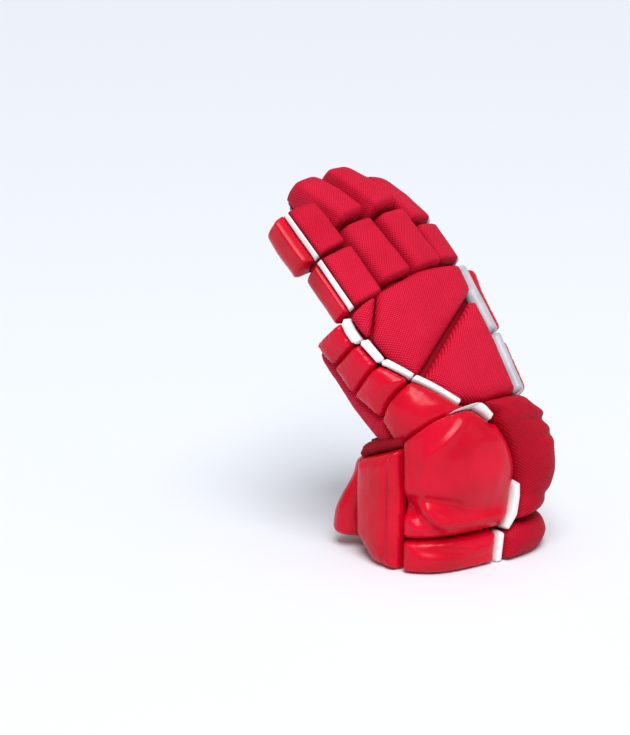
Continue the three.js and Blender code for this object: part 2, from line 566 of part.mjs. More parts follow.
// Finger rolls
const WIDE = [-21, -19, -10.5, -8.5, 0, 8.5, 10.5, 19, 21];
for (const [name, f] of Object.entries(FINGERS)) {
  const path = paths[name];
  const at = (u, s, k) => rollAt(path, STALL, ROLL, f.slope, u, s, k);
  const lower = [name === 'little' ? 0 : -2, 3, path.joint * 0.5, path.joint - 5, path.joint - 2];
  const upper = [path.joint + 1, path.joint + 4, path.length - 22, path.length - 3, path.length + 1];
  let us = WIDE;
  if (name === 'little') us = [-8.2, -7, 0, 8.5, 10.5, 19, 21];
  if (name === 'index') us = [-21, -19, -10.5, -8.5, 0, 7, 8.2];
  const heights = { side: 0.8, end: 0.82, top: 1 };
  place(`${name}_roll_lower`, rollBlock(at, us, lower, heights), RED_MESH);
  place(`${name}_roll_tip`, rollBlock(at, us, upper, heights), RED_MESH);
  if (name === 'little' || name === 'index') {
    const sign = name === 'little' ? -1 : 1;
    const strip = [8.9, 10.2, 12.8].map((u) => u * sign);
    const side = [13.5, 15, 25, 28].map((u) => u * sign);
    const look = name === 'little' ? WHITE : SILVER;
    const stripTop = { side: 0.9, end: 0.85, top: 1 };
    place(`${name}_stripe_lower`, rollBlock(at, strip, lower, stripTop), look);
    place(`${name}_stripe_tip`, rollBlock(at, strip, upper, stripTop), look);
    const sideTop = { side: 0.7, end: 0.8, top: name === 'little' ? 1.4 : 1.15 };
    place(`${name}_side_lower`, rollBlock(at, side, lower, sideTop), RED_LEATHER);
    place(`${name}_side_tip`, rollBlock(at, side, upper, sideTop), RED_LEATHER);
  }
  const low = (u, s, k) => stallAt(path, STALL, u, s, PAD_GAP + 1.6 * k);
  place(`${name}_palm`, rollBlock(low, [29.5, 33, 36, 39, 42.5], [6, path.joint - 8, path.joint + 8, path.length - 10],
    { side: 1, end: 1, top: 1 }), GREY_PALM);
}

// Thumb: two smooth segments on its back, mesh border at its sides, palm strip
const thumbAt = (u, s, k) => rollAt(paths.thumb, THUMB_STALL, THUMB_ROLL, 0, u, s, k, 1.7 * PAD_GAP);
const tj = paths.thumb.joint;
const tl = paths.thumb.length;
place('thumb_roll_lower', rollBlock(thumbAt, [-11, -9.5, 0, 9.5, 11], [25, 28, 33, tj - 4, tj - 2],
  { side: 0.85, end: 0.82, top: 1 }), RED_LEATHER);
place('thumb_roll_tip', rollBlock(thumbAt, [-11, -9.5, 0, 9.5, 11], [tj + 1, tj + 4, tj + 11, tl - 12, tl - 3, tl + 1],
  { side: 0.85, end: 0.82, top: 1 }), RED_LEATHER);
for (const [tag, sign] of [['upper', 1], ['lower', -1]]) {
  place(`thumb_edge_${tag}`, rollBlock(thumbAt, [12, 13.5, 21, 22.5].map((u) => u * sign),
    [30, 33, tj + 4, tl - 14, tl - 4], { side: 0.85, end: 0.85, top: 0.95 }), RED_MESH);
}
const thumbLow = (u, s, k) => stallAt(paths.thumb, THUMB_STALL, u, s, PAD_GAP + 1.6 * k);
place('thumb_palm', rollBlock(thumbLow, [27, 31.5, 36, 40.5, 45], [26, tj, tl - 14, tl - 9],
  { side: 1, end: 1, top: 1 }), GREY_PALM);

group.position.set(...ORIGIN_SHIFT);

export default group;
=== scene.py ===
import math
import bmesh
import bpy
import numpy as np
from mathutils import Matrix, Vector, geometry, noise


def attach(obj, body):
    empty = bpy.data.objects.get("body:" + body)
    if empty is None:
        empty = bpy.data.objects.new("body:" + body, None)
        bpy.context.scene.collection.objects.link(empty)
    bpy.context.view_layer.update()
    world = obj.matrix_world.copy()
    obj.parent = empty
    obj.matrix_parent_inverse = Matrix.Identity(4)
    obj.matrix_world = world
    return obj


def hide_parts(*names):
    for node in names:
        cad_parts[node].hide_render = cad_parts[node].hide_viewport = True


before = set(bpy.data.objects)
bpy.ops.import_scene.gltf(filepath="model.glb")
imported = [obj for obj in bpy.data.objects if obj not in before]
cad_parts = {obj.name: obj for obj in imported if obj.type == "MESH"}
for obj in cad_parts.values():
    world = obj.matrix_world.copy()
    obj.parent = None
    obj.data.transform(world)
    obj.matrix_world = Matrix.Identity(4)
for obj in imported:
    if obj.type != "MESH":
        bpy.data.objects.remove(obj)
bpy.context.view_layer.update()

# Left ice hockey glove standing on its cuff. Lengths are millimetres until a mesh is made.
SHIFT = np.array([1.5, -49.4, 0.0])
MM = 0.001
WRIST = np.array([3.2, -4.3, 104.8])
HAND_FLEX = 39.5
HAND_TURN = 7.3
HAND_END = 111
LITTLE_END = 100
CUFF_HEIGHT = 105
CUFF_TILT = 18
PAD_GAP = 0.6
LINING_TOP = -0.32
# Half the way round the hand, the cuff and a finger, in the units of u
HALF_ROUND = 150
CUFF_ROUND = 167
FINGER_ROUND = 36
# Where a finger's centre line starts and how far it runs on past the finger
PATH_START = -24
PATH_PAST = 16
# How far the padded rolls go past the finger's end
ROLL_PAST = 12.5
ROLL_PAST_OF = {"little": -0.5, "thumb": 3}

# Pads: spacing round the outline and of the grid inside, rings just inside the outline, how far
# the outline grows past the corners, and the rounding of a corner
OUTLINE_STEP = 1.3
PAD_STEP = 1.5
PAD_RINGS = (0.18, 0.7, 1.5, 2.6, 3.9)
PAD_GROW = 0.35
PAD_CORNER = 4
# Widest u of a roll's flat back, and how the cloth's run round a roll stretches u
ROLL_FLAT = (5, 10)
ROLL_STRETCH = 1.75
# Distance between stitches, and thickness of the palm's strips and of its sheet
STITCH_PITCH = 4.4
PALM_CLOTH = 1.6
PALM_THICK = 2.0

# Squareness of each rounded section at the back and at the palm, where 2 is an ellipse
HAND_SQUARE = (3, 3.6)
CUFF_SQUARE = (3.2, 3.4)
STALL_SQUARE = (2.6, 2.6)
ROLL_SQUARE = (5, 3)
# Half the length of the soft bend at a joint, and how far a roll rises for each share of height past 1
FINGER_BEND = 8
THUMB_BEND = 10
ROLL_RISE = 10
# Share of its width that a finger loses: in the stall, in the roll and at the very tip, and over
# which length before its end
STALL_NARROW, STALL_REACH = 0.12, 26
ROLL_NARROW, ROLL_REACH, ROLL_BEYOND = 0.1, 22, 4
TIP_NARROW, TIP_LEAD, TIP_REACH = 0.24, 2, 13
# Shares of the hand's half width between which the cup of the palm fades
CUP_FADE = (0.45, 0.95)

# Sections of the hand: v from the wrist, centre, half width, depth to back and palm, palm cup
HAND_ROWS = np.array([
    [-10, 5, 45, 19, 38, 6],
    [0, 5, 46, 19, 40, 6],
    [50, 4.5, 54, 21, 42, 10],
    [90, 2, 58, 23.5, 40, 14],
    [106, 1, 59, 25.5, 34, 21],
    [116, 1, 59, 26, 22, 17],
])
CUFF_RIM = dict(half=57, back=37, palm=60, centre=(7, 10, 0))
CUFF_TOP = dict(half=53, back=31, palm=58, centre=(8, 9, 104))
STALL = dict(half=11, back=10, palm=10)
ROLL = dict(half=14.6, back=21, palm=13)
THUMB_STALL = dict(half=13, back=12, palm=12)
THUMB_ROLL = dict(half=18, back=21, palm=16)
FINGERS = {
    "little": dict(base=(-41.1, -29.3, 106.3), lean=(45.9, 45.9), turn=(8.2, 10.0),
                   parts=(48.3, 46.5), slope=-18),
    "ring": dict(base=(-9.8, -37.1, 116.7), lean=(49.7, 65.6), turn=(9.0, 11.0),
                 parts=(57.9, 49.6), slope=-5),
    "middle": dict(base=(21.4, -39.0, 116.6), lean=(47.2, 65.8), turn=(8.9, 11.6),
                   parts=(56.6, 51.7), slope=4),
    "index": dict(base=(51.1, -29.4, 118.0), lean=(44.7, 57.8), turn=(7.9, 11.5),
                  parts=(37.7, 50.6), slope=20),
}
THUMB = dict(start=(37, 32, 28), along=((0.22, 0.60, 0.77), (-0.06, 0.58, 0.81)),
             parts=(44, 40), back=(0.93, -0.30, 0.10))

# Edge of a pad: how far in it rises steeply, the share it reaches there, and how far in the rest
ROLL_EDGE = (2.6, 0.8, 7)
BACK_EDGE = (4.0, 0.46, 11)
INDEX_EDGE = (5, 0.8, 11)
SILVER_EDGE = (2.2, 0.8, 4)
SIDE_EDGE = (1.0, 0.95, 2)

SIDE_ROLL = dict(look="leather", thick=12.5, edge=ROLL_EDGE)
SIDE_STRIPE = dict(look="white", thick=10.8, edge=SIDE_EDGE, corner=1.2, strip=True)
PIPING = dict(look="silver", thick=11.6, edge=SILVER_EDGE, strip=True)

# Pads on the hand: corners as (u round the hand, v along it)
HAND_PADS = {
    "back_panel_main": dict(look="mesh", thick=11.4, lift=1.0, edge=BACK_EDGE, corners=[
        (-32, 107), (12, 114), (51, 111.5), (48, 87.2), (-40.4, 37.4), (-49.2, 60), (-51, 77),
        (-44, 87)]),
    "back_panel_corner": dict(look="mesh", thick=11.4, edge=BACK_EDGE, corners=[
        (47.2, 81), (43.5, 0.4), (6, 0.6), (-19.6, 9.6), (-36.4, 33.6)]),
    "back_knuckle": dict(look="mesh", thick=9, edge=(2.6, 0.72, 7), corners=[
        (-55.5, 100), (-45, 104.5), (-34.5, 106), (-45.5, 88), (-52.5, 79)]),
    "index_edge_upper": dict(look="leather", thick=27, edge=INDEX_EDGE, corner=9, corners=[
        (62.5, 112), (61.2, 54), (80, 57), (86, 104), (80, 112)]),
    "index_edge_lower": dict(look="leather", thick=24, edge=INDEX_EDGE, corner=9, corners=[
        (60.4, 51.6), (58.4, 1), (78, 2), (80, 53)]),
    "index_piping_upper": dict(PIPING, corners=[
        (52, 111), (61, 110), (59.8, 52.6), (50, 52.6)]),
    "index_piping_lower": dict(PIPING, corners=[
        (49.8, 51.4), (59, 51.6), (57, 0.6), (44.6, 0.6)]),
    "side_roll_1": dict(SIDE_ROLL, corners=[
        (-60.9, 100), (-91, 101), (-87, 79.6), (-60.3, 80.4)]),
    "side_roll_2": dict(SIDE_ROLL, corners=[
        (-57.7, 79.6), (-88, 78.6), (-87.5, 54), (-55.5, 59)]),
    "side_roll_3": dict(SIDE_ROLL, corners=[
        (-54.9, 58.2), (-87, 53.2), (-78.5, 26.4), (-45.4, 37.4)]),
    "side_roll_4": dict(SIDE_ROLL, thick=13, corners=[
        (-45.4, 36.6), (-77.5, 25.6), (-82, 0.6), (-22, 0.4), (-19.8, 4.2), (-24.2, 5.2)]),
    "side_stripe_1": dict(SIDE_STRIPE, corners=[
        (-56.2, 100), (-60.2, 100.5), (-59.6, 80.3), (-55.6, 80.2)]),
    "side_stripe_2": dict(SIDE_STRIPE, corners=[
        (-52.8, 79.4), (-57.0, 79.6), (-54.8, 59.4), (-50.8, 59.2)]),
    "side_stripe_3": dict(SIDE_STRIPE, corners=[
        (-49.8, 58.8), (-54.2, 58.6), (-44.8, 38.2), (-40.8, 38.8)]),
    "side_stripe_4": dict(SIDE_STRIPE, corners=[
        (-40.2, 38.6), (-44.6, 37.2), (-23.4, 5.4), (-19.0, 7.8)]),
    "palm_edge_band": dict(look="mesh", thick=11, edge=(4, 0.6, 10), corners=[
        (-93, 98), (-89.5, 77), (-89.5, 54), (-81, 27), (-84.5, 6), (-106, 10), (-112, 60), (-109, 97)]),
}

# Pads on the cuff: corners as (u round the cuff, v up from the rim)
CUFF_PADS = {
    "cuff_pad_outer": dict(look="leather", thick=16, edge=(3.2, 0.72, 12), corners=[
        (-59.5, 90), (-58, 0), (-80, 0), (-101, 18), (-106, 80), (-102, 84.5)]),
    "cuff_pad_round": dict(look="leather", thick=15, lift=0.3, edge=(3.0, 0.74, 12), tall=True,
                          domes=[((-11, 76), (44, 38), 8), ((-54, 48), (9, 10), -8)], corners=[
        (-56.8, 24.6), (-57.8, 96), (-47, 112), (-31, 114), (-13, 109), (-0.5, 98), (5, 97.5),
        (12.4, 87), (18.6, 76), (23, 63), (22.8, 56), (20.4, 50), (17.8, 34), (10.5, 24.4)]),
    "cuff_pad_lower": dict(look="leather", thick=15.5, edge=(3.2, 0.72, 10), corners=[
        (-56.8, 23.6), (-56.8, 0), (3.6, 0), (6.6, 22.6)]),
    "cuff_stripe_lower": dict(look="white", thick=13.5, edge=(1.6, 0.92, 3), strip=True, corners=[
        (7.2, 20.8), (4.2, 0), (10.0, 0), (13.2, 20.8)]),
    "cuff_mesh_lower": dict(look="shaded cuff mesh", thick=19, edge=(3.4, 0.66, 14), corners=[
        (13.8, 19.6), (10.7, 0), (62, 0), (64, 24), (24, 22.6)]),
    "cuff_mesh_upper": dict(look="shaded cuff mesh", thick=21, edge=(4, 0.6, 18), tall=True,
                            domes=[((50, 66), (24, 28), 6), ((48, 112), (26, 16), -8)], corners=[
        (-6, 114), (40, 113), (60, 103), (64, 27), (24, 25.5), (28, 43), (27.6, 54),
        (24.8, 62.5), (19.8, 76.5), (13.6, 87.6), (7, 97), (6.6, 103)]),
    "cuff_side_pad": dict(look="leather", thick=14, edge=(3.4, 0.7, 12), corners=[
        (66, 90), (65.5, 0), (102, 0), (104, 86)]),
    "gusset_outer": dict(look="lining", node="cuff_lining", thick=10, edge=(3, 0.6, 7), corners=[
        (-59.6, 100), (-59.6, 91.2), (-102, 85.8), (-106.5, 81.5), (-114, 86), (-108, 97)]),
    "cuff_tab_outer": dict(look="leather", thick=23, edge=(5, 0.7, 8), slim=(78, 30, 0.45), corners=[
        (-108, 84), (-108, 14), (-113, 9), (-124, 9), (-127, 14), (-126, 80), (-121, 85)]),
    "cuff_tab_thumb": dict(look="leather", thick=15, edge=(4, 0.7, 8), corners=[
        (108, 82), (108, 6), (128, 6), (128, 78)]),
    "cuff_palm_pad": dict(look="leather", thick=8, edge=(3, 0.75, 7), corners=[
        (131, 36), (131, 0), (203, 0), (203, 36)]),
}
# White band at the round pad's edge: u, v, half its width and its thickness. The thin middle is hidden
ROUND_BAND = [
    (-36, 120, 3.2, 10), (-14, 114.2, 3.4, 13.2), (-4, 107.6, 3.4, 14), (2.2, 101.8, 3.2, 14),
    (4.6, 99, 1.0, 4), (24.2, 56, 1.0, 4), (24.2, 51.5, 3.0, 15), (23.8, 43, 3.2, 15),
    (21.4, 31, 3.2, 14.5), (14.5, 21.8, 2.4, 13.5)]


def unit(a):
    return a / np.linalg.norm(a, axis=-1, keepdims=True)


def smooth(a, b, x):
    t = np.clip((x - a) / (b - a), 0, 1)
    return t * t * (3 - 2 * t)


def limb_axes(lean, turn):
    p, d = math.radians(lean), math.radians(turn)
    along = np.array([-math.sin(d), math.cos(d) * math.sin(p), math.cos(d) * math.cos(p)])
    side = np.array([math.cos(d), math.sin(d) * math.sin(p), math.sin(d) * math.cos(p)])
    return side, np.cross(along, side), along


# Rounded section curve: f from -1 to 1 by arc length, 0 at the middle of the back
SECTION_STEPS = 400
F_GRID = np.linspace(-1, 1, 2 * SECTION_STEPS + 1)


def section_curve(half, back, palm, n_back, n_palm):
    t = np.linspace(0, math.pi, SECTION_STEPS + 1)
    c = np.cos(t)
    n = np.where(c > 0, n_back, n_palm)
    x = half * np.abs(np.sin(t)) ** (2 / n)
    y = -np.sign(c) * np.abs(c) ** (2 / n) * np.where(c > 0, back, palm)
    arc = np.concatenate([[0], np.cumsum(np.hypot(np.diff(x), np.diff(y)))])
    arc /= arc[-1]
    g = np.abs(F_GRID)
    xs = np.interp(g, arc, x) * np.sign(F_GRID)
    ys = np.interp(g, arc, y)
    reach = int(0.02 * SECTION_STEPS)
    ring = slice(0, 2 * SECTION_STEPS)
    dx = np.roll(xs[ring], -reach) - np.roll(xs[ring], reach)
    dy = np.roll(ys[ring], -reach) - np.roll(ys[ring], reach)
    k = np.hypot(dx, dy)
    nx = np.append(dy / k, (dy / k)[0])
    ny = np.append(-dx / k, (-dx / k)[0])
    return np.stack([xs, ys, nx, ny])


def wrap(f):
    return (f + 1) % 2 - 1


def take(curve, f):
    f = wrap(f)
    return [np.interp(f, F_GRID, row) for row in curve]


HAND_SIDE, HAND_PALM, HAND_ALONG = limb_axes(HAND_FLEX, HAND_TURN)
HAND_V = np.arange(-14, 124, 1.0)


def hand_row(v):
    return [np.interp(v, HAND_ROWS[:, 0], HAND_ROWS[:, k]) for k in range(1, 6)]


HAND_TABLE = []
for level in HAND_V:
    _, half, back, palm, _ = hand_row(level)
    HAND_TABLE.append(section_curve(half, back, palm, *HAND_SQUARE))
HAND_TABLE = np.array(HAND_TABLE)


def hand_place(x, y, z):
    x, y, z = [np.asarray(a, float)[..., None] for a in (x, y, z)]
    return WRIST + HAND_SIDE * x + HAND_PALM * y + HAND_ALONG * z


def hand_at(u, v, h):
    u, v, h = np.broadcast_arrays(*[np.asarray(a, float) for a in (u, v, h)])
    g = np.clip(v - HAND_V[0], 0, len(HAND_V) - 1.001)
    i = g.astype(int)
    t = g - i
    f = (wrap(u / HALF_ROUND) + 1) * SECTION_STEPS
    j = np.clip(f.astype(int), 0, 2 * SECTION_STEPS - 1)
    s = f - j
    mixed = []
    for k in range(4):
        here = (1 - s) * HAND_TABLE[i, k, j] + s * HAND_TABLE[i, k, j + 1]
        after = (1 - s) * HAND_TABLE[i + 1, k, j] + s * HAND_TABLE[i + 1, k, j + 1]
        mixed.append((1 - t) * here + t * after)
    x, y, nx, ny = mixed
    centre, half, _, palm, dip = hand_row(v)
    cup = dip * smooth(0, palm, y)
    cup = cup * (1 - smooth(CUP_FADE[0] * half, CUP_FADE[1] * half, np.abs(x)))
    return hand_place(centre + x + nx * h, y + ny * h - cup, v)


RIM_CURVE = section_curve(CUFF_RIM["half"], CUFF_RIM["back"], CUFF_RIM["palm"], *CUFF_SQUARE)
TOP_CURVE = section_curve(CUFF_TOP["half"], CUFF_TOP["back"], CUFF_TOP["palm"], *CUFF_SQUARE)


def cuff_at(u, v, h):
    u, v, h = np.broadcast_arrays(*[np.asarray(a, float) for a in (u, v, h)])
    t = (v / CUFF_HEIGHT)[..., None]
    c, s = math.cos(math.radians(CUFF_TILT)), math.sin(math.radians(CUFF_TILT))
    x, y, nx, ny = take(RIM_CURVE, u / CUFF_ROUND)
    low = np.stack([x, y, 0 * x], -1) + CUFF_RIM["centre"]
    low_n = np.stack([nx, ny, 0 * x], -1)
    x, y, nx, ny = take(TOP_CURVE, u / CUFF_ROUND)
    top = np.stack([x, y * c, -y * s], -1) + CUFF_TOP["centre"]
    top_n = np.stack([nx, ny * c, -ny * s], -1)
    return low + (top - low) * t + unit(low_n + (top_n - low_n) * t) * h[..., None]


class Limb:
    """Centre line of a finger or the thumb, with a soft bend at the joint"""

    def __init__(self, start, first, second, parts, bend, stall, roll, slope):
        rows = []
        p = start + first[2] * PATH_START
        for s in np.arange(PATH_START, sum(parts) + PATH_PAST):
            t = smooth(parts[0] - bend, parts[0] + bend, s)
            along = unit(first[2] + (second[2] - first[2]) * t)
            palm = first[1] + (second[1] - first[1]) * t
            palm = unit(palm - along * np.dot(palm, along))
            rows.append([p, along, palm, np.cross(palm, along)])
            p = p + along
        self.rows = np.array(rows)
        self.length = sum(parts)
        self.joint = parts[0]
        self.slope = math.tan(math.radians(slope))
        self.stall_curve = section_curve(stall["half"], stall["back"], stall["palm"], *STALL_SQUARE)
        self.roll_curve = section_curve(roll["half"], roll["back"], roll["palm"], *ROLL_SQUARE)
        self.depth = roll["back"]

    def tip_width(self, s):
        """Share of the width that is left near the tip"""
        return 1 - TIP_NARROW * np.clip((s - self.length + TIP_LEAD) / TIP_REACH, 0, 1) ** 2

    def frame(self, s):
        g = np.clip(s - PATH_START, 0, len(self.rows) - 1.001)
        i = g.astype(int)
        t = (g - i)[..., None, None]
        mixed = self.rows[i] * (1 - t) + self.rows[i + 1] * t
        return mixed[..., 0, :], mixed[..., 3, :], mixed[..., 2, :]

    def stall(self, u, s, h):
        u, s, h = np.broadcast_arrays(*[np.asarray(a, float) for a in (u, s, h)])
        p, side, palm = self.frame(s)
        taper = 1 - STALL_NARROW * smooth(self.length - STALL_REACH, self.length, s)
        taper = taper * self.tip_width(s)
        x, y, nx, ny = take(self.stall_curve, u / FINGER_ROUND)
        return p + side * (x * taper + nx * h)[..., None] + palm * (y * taper + ny * h)[..., None]

    def roll(self, u, s, k, gap=PAD_GAP):
        u, s, k = np.broadcast_arrays(*[np.asarray(a, float) for a in (u, s, k)])
        low = self.stall(u, s, gap)
        p, side, palm = self.frame(s)
        taper = 1 - ROLL_NARROW * smooth(self.length - ROLL_REACH, self.length + ROLL_BEYOND, s)
        taper = taper * self.tip_width(s)
        x, y, nx, ny = take(self.roll_curve, u / FINGER_ROUND)
        lift = x * self.slope * smooth(0, self.depth, -y)
        extra = np.maximum(k - 1, 0) * ROLL_RISE
        top = p + side * (x * taper + nx * extra)[..., None]
        top = top + palm * ((y + lift) * taper + ny * extra)[..., None]
        return low + (top - low) * np.minimum(k, 1)[..., None]


LIMBS = {}
for name, f in FINGERS.items():
    first = limb_axes(f["lean"][0], f["turn"][0])
    second = limb_axes(f["lean"][1], f["turn"][1])
    shorten = ROLL["back"] * math.tan(math.radians(f["lean"][1] - f["lean"][0]) / 2)
    start = hand_place(*f["base"]) + first[1] * ROLL["back"]
    parts = [x - shorten for x in f["parts"]]
    LIMBS[name] = Limb(start, first, second, parts, FINGER_BEND, STALL, ROLL, f["slope"])


def from_hand(d):
    return unit(HAND_SIDE * d[0] + HAND_PALM * d[1] + HAND_ALONG * d[2])


thumb_back = from_hand(THUMB["back"])
thumb_axes = []
for d in THUMB["along"]:
    along = from_hand(d)
    palm = unit(along * np.dot(thumb_back, along) - thumb_back)
    thumb_axes.append((np.cross(palm, along), palm, along))
thumb_start = hand_place(*THUMB["start"])
LIMBS["thumb"] = Limb(thumb_start, *thumb_axes, THUMB["parts"], THUMB_BEND, THUMB_STALL, THUMB_ROLL, 0)


def roll_end(name):
    return LIMBS[name].length + ROLL_PAST_OF.get(name, ROLL_PAST)


# Meshes
def make_object(name, points, faces, uv=None, smooth_shade=True):
    mesh = bpy.data.meshes.new(name + "_mesh")
    points = np.asarray(points) + SHIFT
    points[:, 2] = np.maximum(points[:, 2], 0)
    mesh.from_pydata([tuple(p) for p in points * MM], [], [tuple(f) for f in faces])
    if uv is not None:
        layer = mesh.uv_layers.new(name="cloth")
        corner = np.zeros(len(mesh.loops), int)
        mesh.loops.foreach_get("vertex_index", corner)
        layer.data.foreach_set("uv", np.asarray(uv, np.float32)[corner].ravel())
    mesh.validate()
    mesh.update()
    if smooth_shade:
        mesh.polygons.foreach_set("use_smooth", [True] * len(mesh.polygons))
    obj = bpy.data.objects.new(name + "_cover", mesh)
    bpy.context.scene.collection.objects.link(obj)
    return obj


def baked(obj):
    """The object's mesh with its modifiers applied"""
    graph = bpy.context.evaluated_depsgraph_get()
    graph.update()
    mesh = bpy.data.meshes.new_from_object(obj.evaluated_get(graph), depsgraph=graph)
    obj.modifiers.clear()
    obj.data = mesh
    return obj


def outline_points(corners, radius, step):
    dense = []
    m = len(corners)
    for i in range(m):
        p, a, b = [np.array(corners[k % m], float) for k in (i, i - 1, i + 1)]
        la, lb = np.linalg.norm(a - p), np.linalg.norm(b - p)
        r = min(radius, la * 0.45, lb * 0.45)
        s, e = p + (a - p) * r / la, p + (b - p) * r / lb
        for t in np.linspace(0, 1, 7):
            dense.append(s * (1 - t) ** 2 + 2 * p * t * (1 - t) + e * t * t)
    dense = np.array(dense + [dense[0]])
    arc = np.concatenate([[0], np.cumsum(np.linalg.norm(np.diff(dense, axis=0), axis=1))])
    count = max(12, int(arc[-1] / step))
    want = arc[-1] * np.arange(count) / count
    return np.stack([np.interp(want, arc, dense[:, k]) for k in (0, 1)], -1)


def edge_distance(points, outline):
    """Distance of each point to the outline, and how far round it the nearest place is"""
    a = outline
    b = np.roll(outline, -1, axis=0)
    ab = b - a
    length = np.linalg.norm(ab, axis=1)
    start = np.concatenate([[0], np.cumsum(length)[:-1]])
    t = np.einsum("pek,ek->pe", points[:, None] - a[None], ab) / (length ** 2)
    t = np.clip(t, 0, 1)
    near = a[None] + ab[None] * t[..., None]
    d = np.linalg.norm(points[:, None] - near, axis=2)
    best = d.argmin(1)
    row = np.arange(len(points))
    return d[row, best], start[best] + t[row, best] * length[best]


def inward_normals(outline):
    a, b = np.roll(outline, 1, axis=0), np.roll(outline, -1, axis=0)
    area = np.sum(outline[:, 0] * b[:, 1] - b[:, 0] * outline[:, 1])
    tangent = unit(b - a)
    return np.stack([-tangent[:, 1], tangent[:, 0]], -1) * (1 if area > 0 else -1)


def flat_mesh(outline, step):
    """Rings just inside the outline and a grid further in, joined into triangles"""
    b = np.roll(outline, -1, axis=0)
    inward = inward_normals(outline)
    points = [outline]
    for d in PAD_RINGS:
        ring = outline + inward * d
        keep = edge_distance(ring, outline)[0] > d * 0.93
        points.append(ring[keep])
    lo, hi = outline.min(0), outline.max(0)
    gu, gv = np.meshgrid(np.arange(lo[0], hi[0], step), np.arange(lo[1], hi[1], step * 0.87))
    gu[1::2] += step / 2
    grid = np.stack([gu.ravel(), gv.ravel()], -1)
    x, y = grid[:, 0], grid[:, 1]
    crossings = np.zeros(len(grid), int)
    for p, q in zip(outline, b):
        if p[1] == q[1]:
            continue
        between = (y >= min(p[1], q[1])) & (y < max(p[1], q[1]))
        crossings += between & (x < p[0] + (y - p[1]) * (q[0] - p[0]) / (q[1] - p[1]))
    inside = crossings % 2 == 1
    far = edge_distance(grid, outline)[0] > PAD_RINGS[-1] + step * 0.6
    points.append(grid[inside & far])
    points = np.concatenate(points)
    n = len(outline)
    edges = [(i, (i + 1) % n) for i in range(n)]
    joined = geometry.delaunay_2d_cdt([Vector(p) for p in points], edges, [], 1, 1e-6)
    verts = np.array([tuple(v) for v in joined[0]])
    faces = joined[2]
    d, arc = edge_distance(verts, outline)
    return verts, [tuple(f) for f in faces], d, arc


def rounded(d, radius, power=2.5):
    return (1 - (1 - np.clip(d / radius, 0, 1)) ** power) ** (1 / power)


def pillow(d, edge, seam, soft):
    """Rises steeply to a share `seam` of its height over `edge`, then softly to all of it over `soft`"""
    return rounded(d, edge, 2.4) * (seam + (1 - seam) * rounded(d, soft, 2.0))


def noise_at(points, scale, seed):
    shift = Vector((seed * 7.3, seed * 3.1, seed * 1.7))
    return np.array([noise.noise(Vector((p[0] / scale, p[1] / scale, 0)) + shift) for p in points])


def pad_mesh(name, at, spec, height):
    """Closed cushion on a surface: `height` gives each point's top, and the base lies on the lining"""
    outline = outline_points(spec["corners"], spec.get("corner", PAD_CORNER), OUTLINE_STEP)
    outline = outline - inward_normals(outline) * PAD_GROW
    flat, faces, d, arc = flat_mesh(outline, PAD_STEP)
    low = PAD_GAP + spec.get("lift", 0)
    top_h = height(flat, d, arc)
    k = pillow(d, *spec["edge"])
    h = low + (top_h - low) * k
    on_edge = d < 1e-3
    top = at(flat[:, 0], flat[:, 1], h)
    base = at(flat[:, 0], flat[:, 1], np.full(len(flat), low))
    if spec.get("tall"):
        top, base = [under_wrist(p) for p in (top, base)]
    index = np.arange(len(flat)) + len(flat)
    index[on_edge] = np.arange(len(flat))[on_edge]
    tris = []
    for f in faces:
        tris += [(f[0], f[i], f[i + 1]) for i in range(1, len(f) - 1)]
    below = [(index[c], index[b], index[a]) for a, b, c in tris]
    points = np.concatenate([top, base])
    uv = np.concatenate([flat, flat])
    return finished(make_object(name, points, tris + below, uv))


# Height over the wrist that a cuff piece may reach, and how softly it is pressed down to it
WRIST_LIMIT = 1.0
PRESS_DEPTH = 1.8
PRESS_START = 0.8
PRESS_SOFT = 6


def under_wrist(points):
    """Presses what would rise past the wrist flat against the hand"""
    t = (points - WRIST) @ HAND_ALONG
    limit = WRIST_LIMIT - PRESS_DEPTH * np.exp(np.minimum(0, PRESS_START - t) / PRESS_SOFT)
    over = t > limit
    return points - HAND_ALONG * np.where(over, t - limit, 0)[:, None]


def finished(obj):
    """The object without loose points and with all faces turned outward"""
    bm = bmesh.new()
    bm.from_mesh(obj.data)
    bmesh.ops.delete(bm, geom=[v for v in bm.verts if not v.link_faces], context="VERTS")
    bmesh.ops.recalc_face_normals(bm, faces=bm.faces)
    bm.to_mesh(obj.data)
    bm.free()
    return obj


def closed_grid(name, upper, lower, uv=None, press=None):
    """Closed piece from two grids of points that share their border"""
    ns, nu = upper.shape[:2]
    index = np.arange(ns * nu).reshape(ns, nu)
    base = index + ns * nu
    base[[0, -1], :] = index[[0, -1], :]
    base[:, [0, -1]] = index[:, [0, -1]]
    faces = []
    for j in range(ns - 1):
        for i in range(nu - 1):
            faces.append((index[j, i], index[j, i + 1], index[j + 1, i + 1], index[j + 1, i]))
            faces.append((base[j, i], base[j + 1, i], base[j + 1, i + 1], base[j, i + 1]))
    points = np.concatenate([upper.reshape(-1, 3), lower.reshape(-1, 3)])
    if press is not None:
        points = press(points)
    return finished(make_object(name, points, faces, uv))


def tube_faces(count, total, closed=False):
    """Faces between rings of `count` points, and from the last to the first where closed"""
    faces = []
    for k in range(total if closed else total - 1):
        for i in range(count):
            j = (i + 1) % count
            a, b = k * count, ((k + 1) % total) * count
            faces.append((a + i, a + j, b + j, b + i))
    return faces


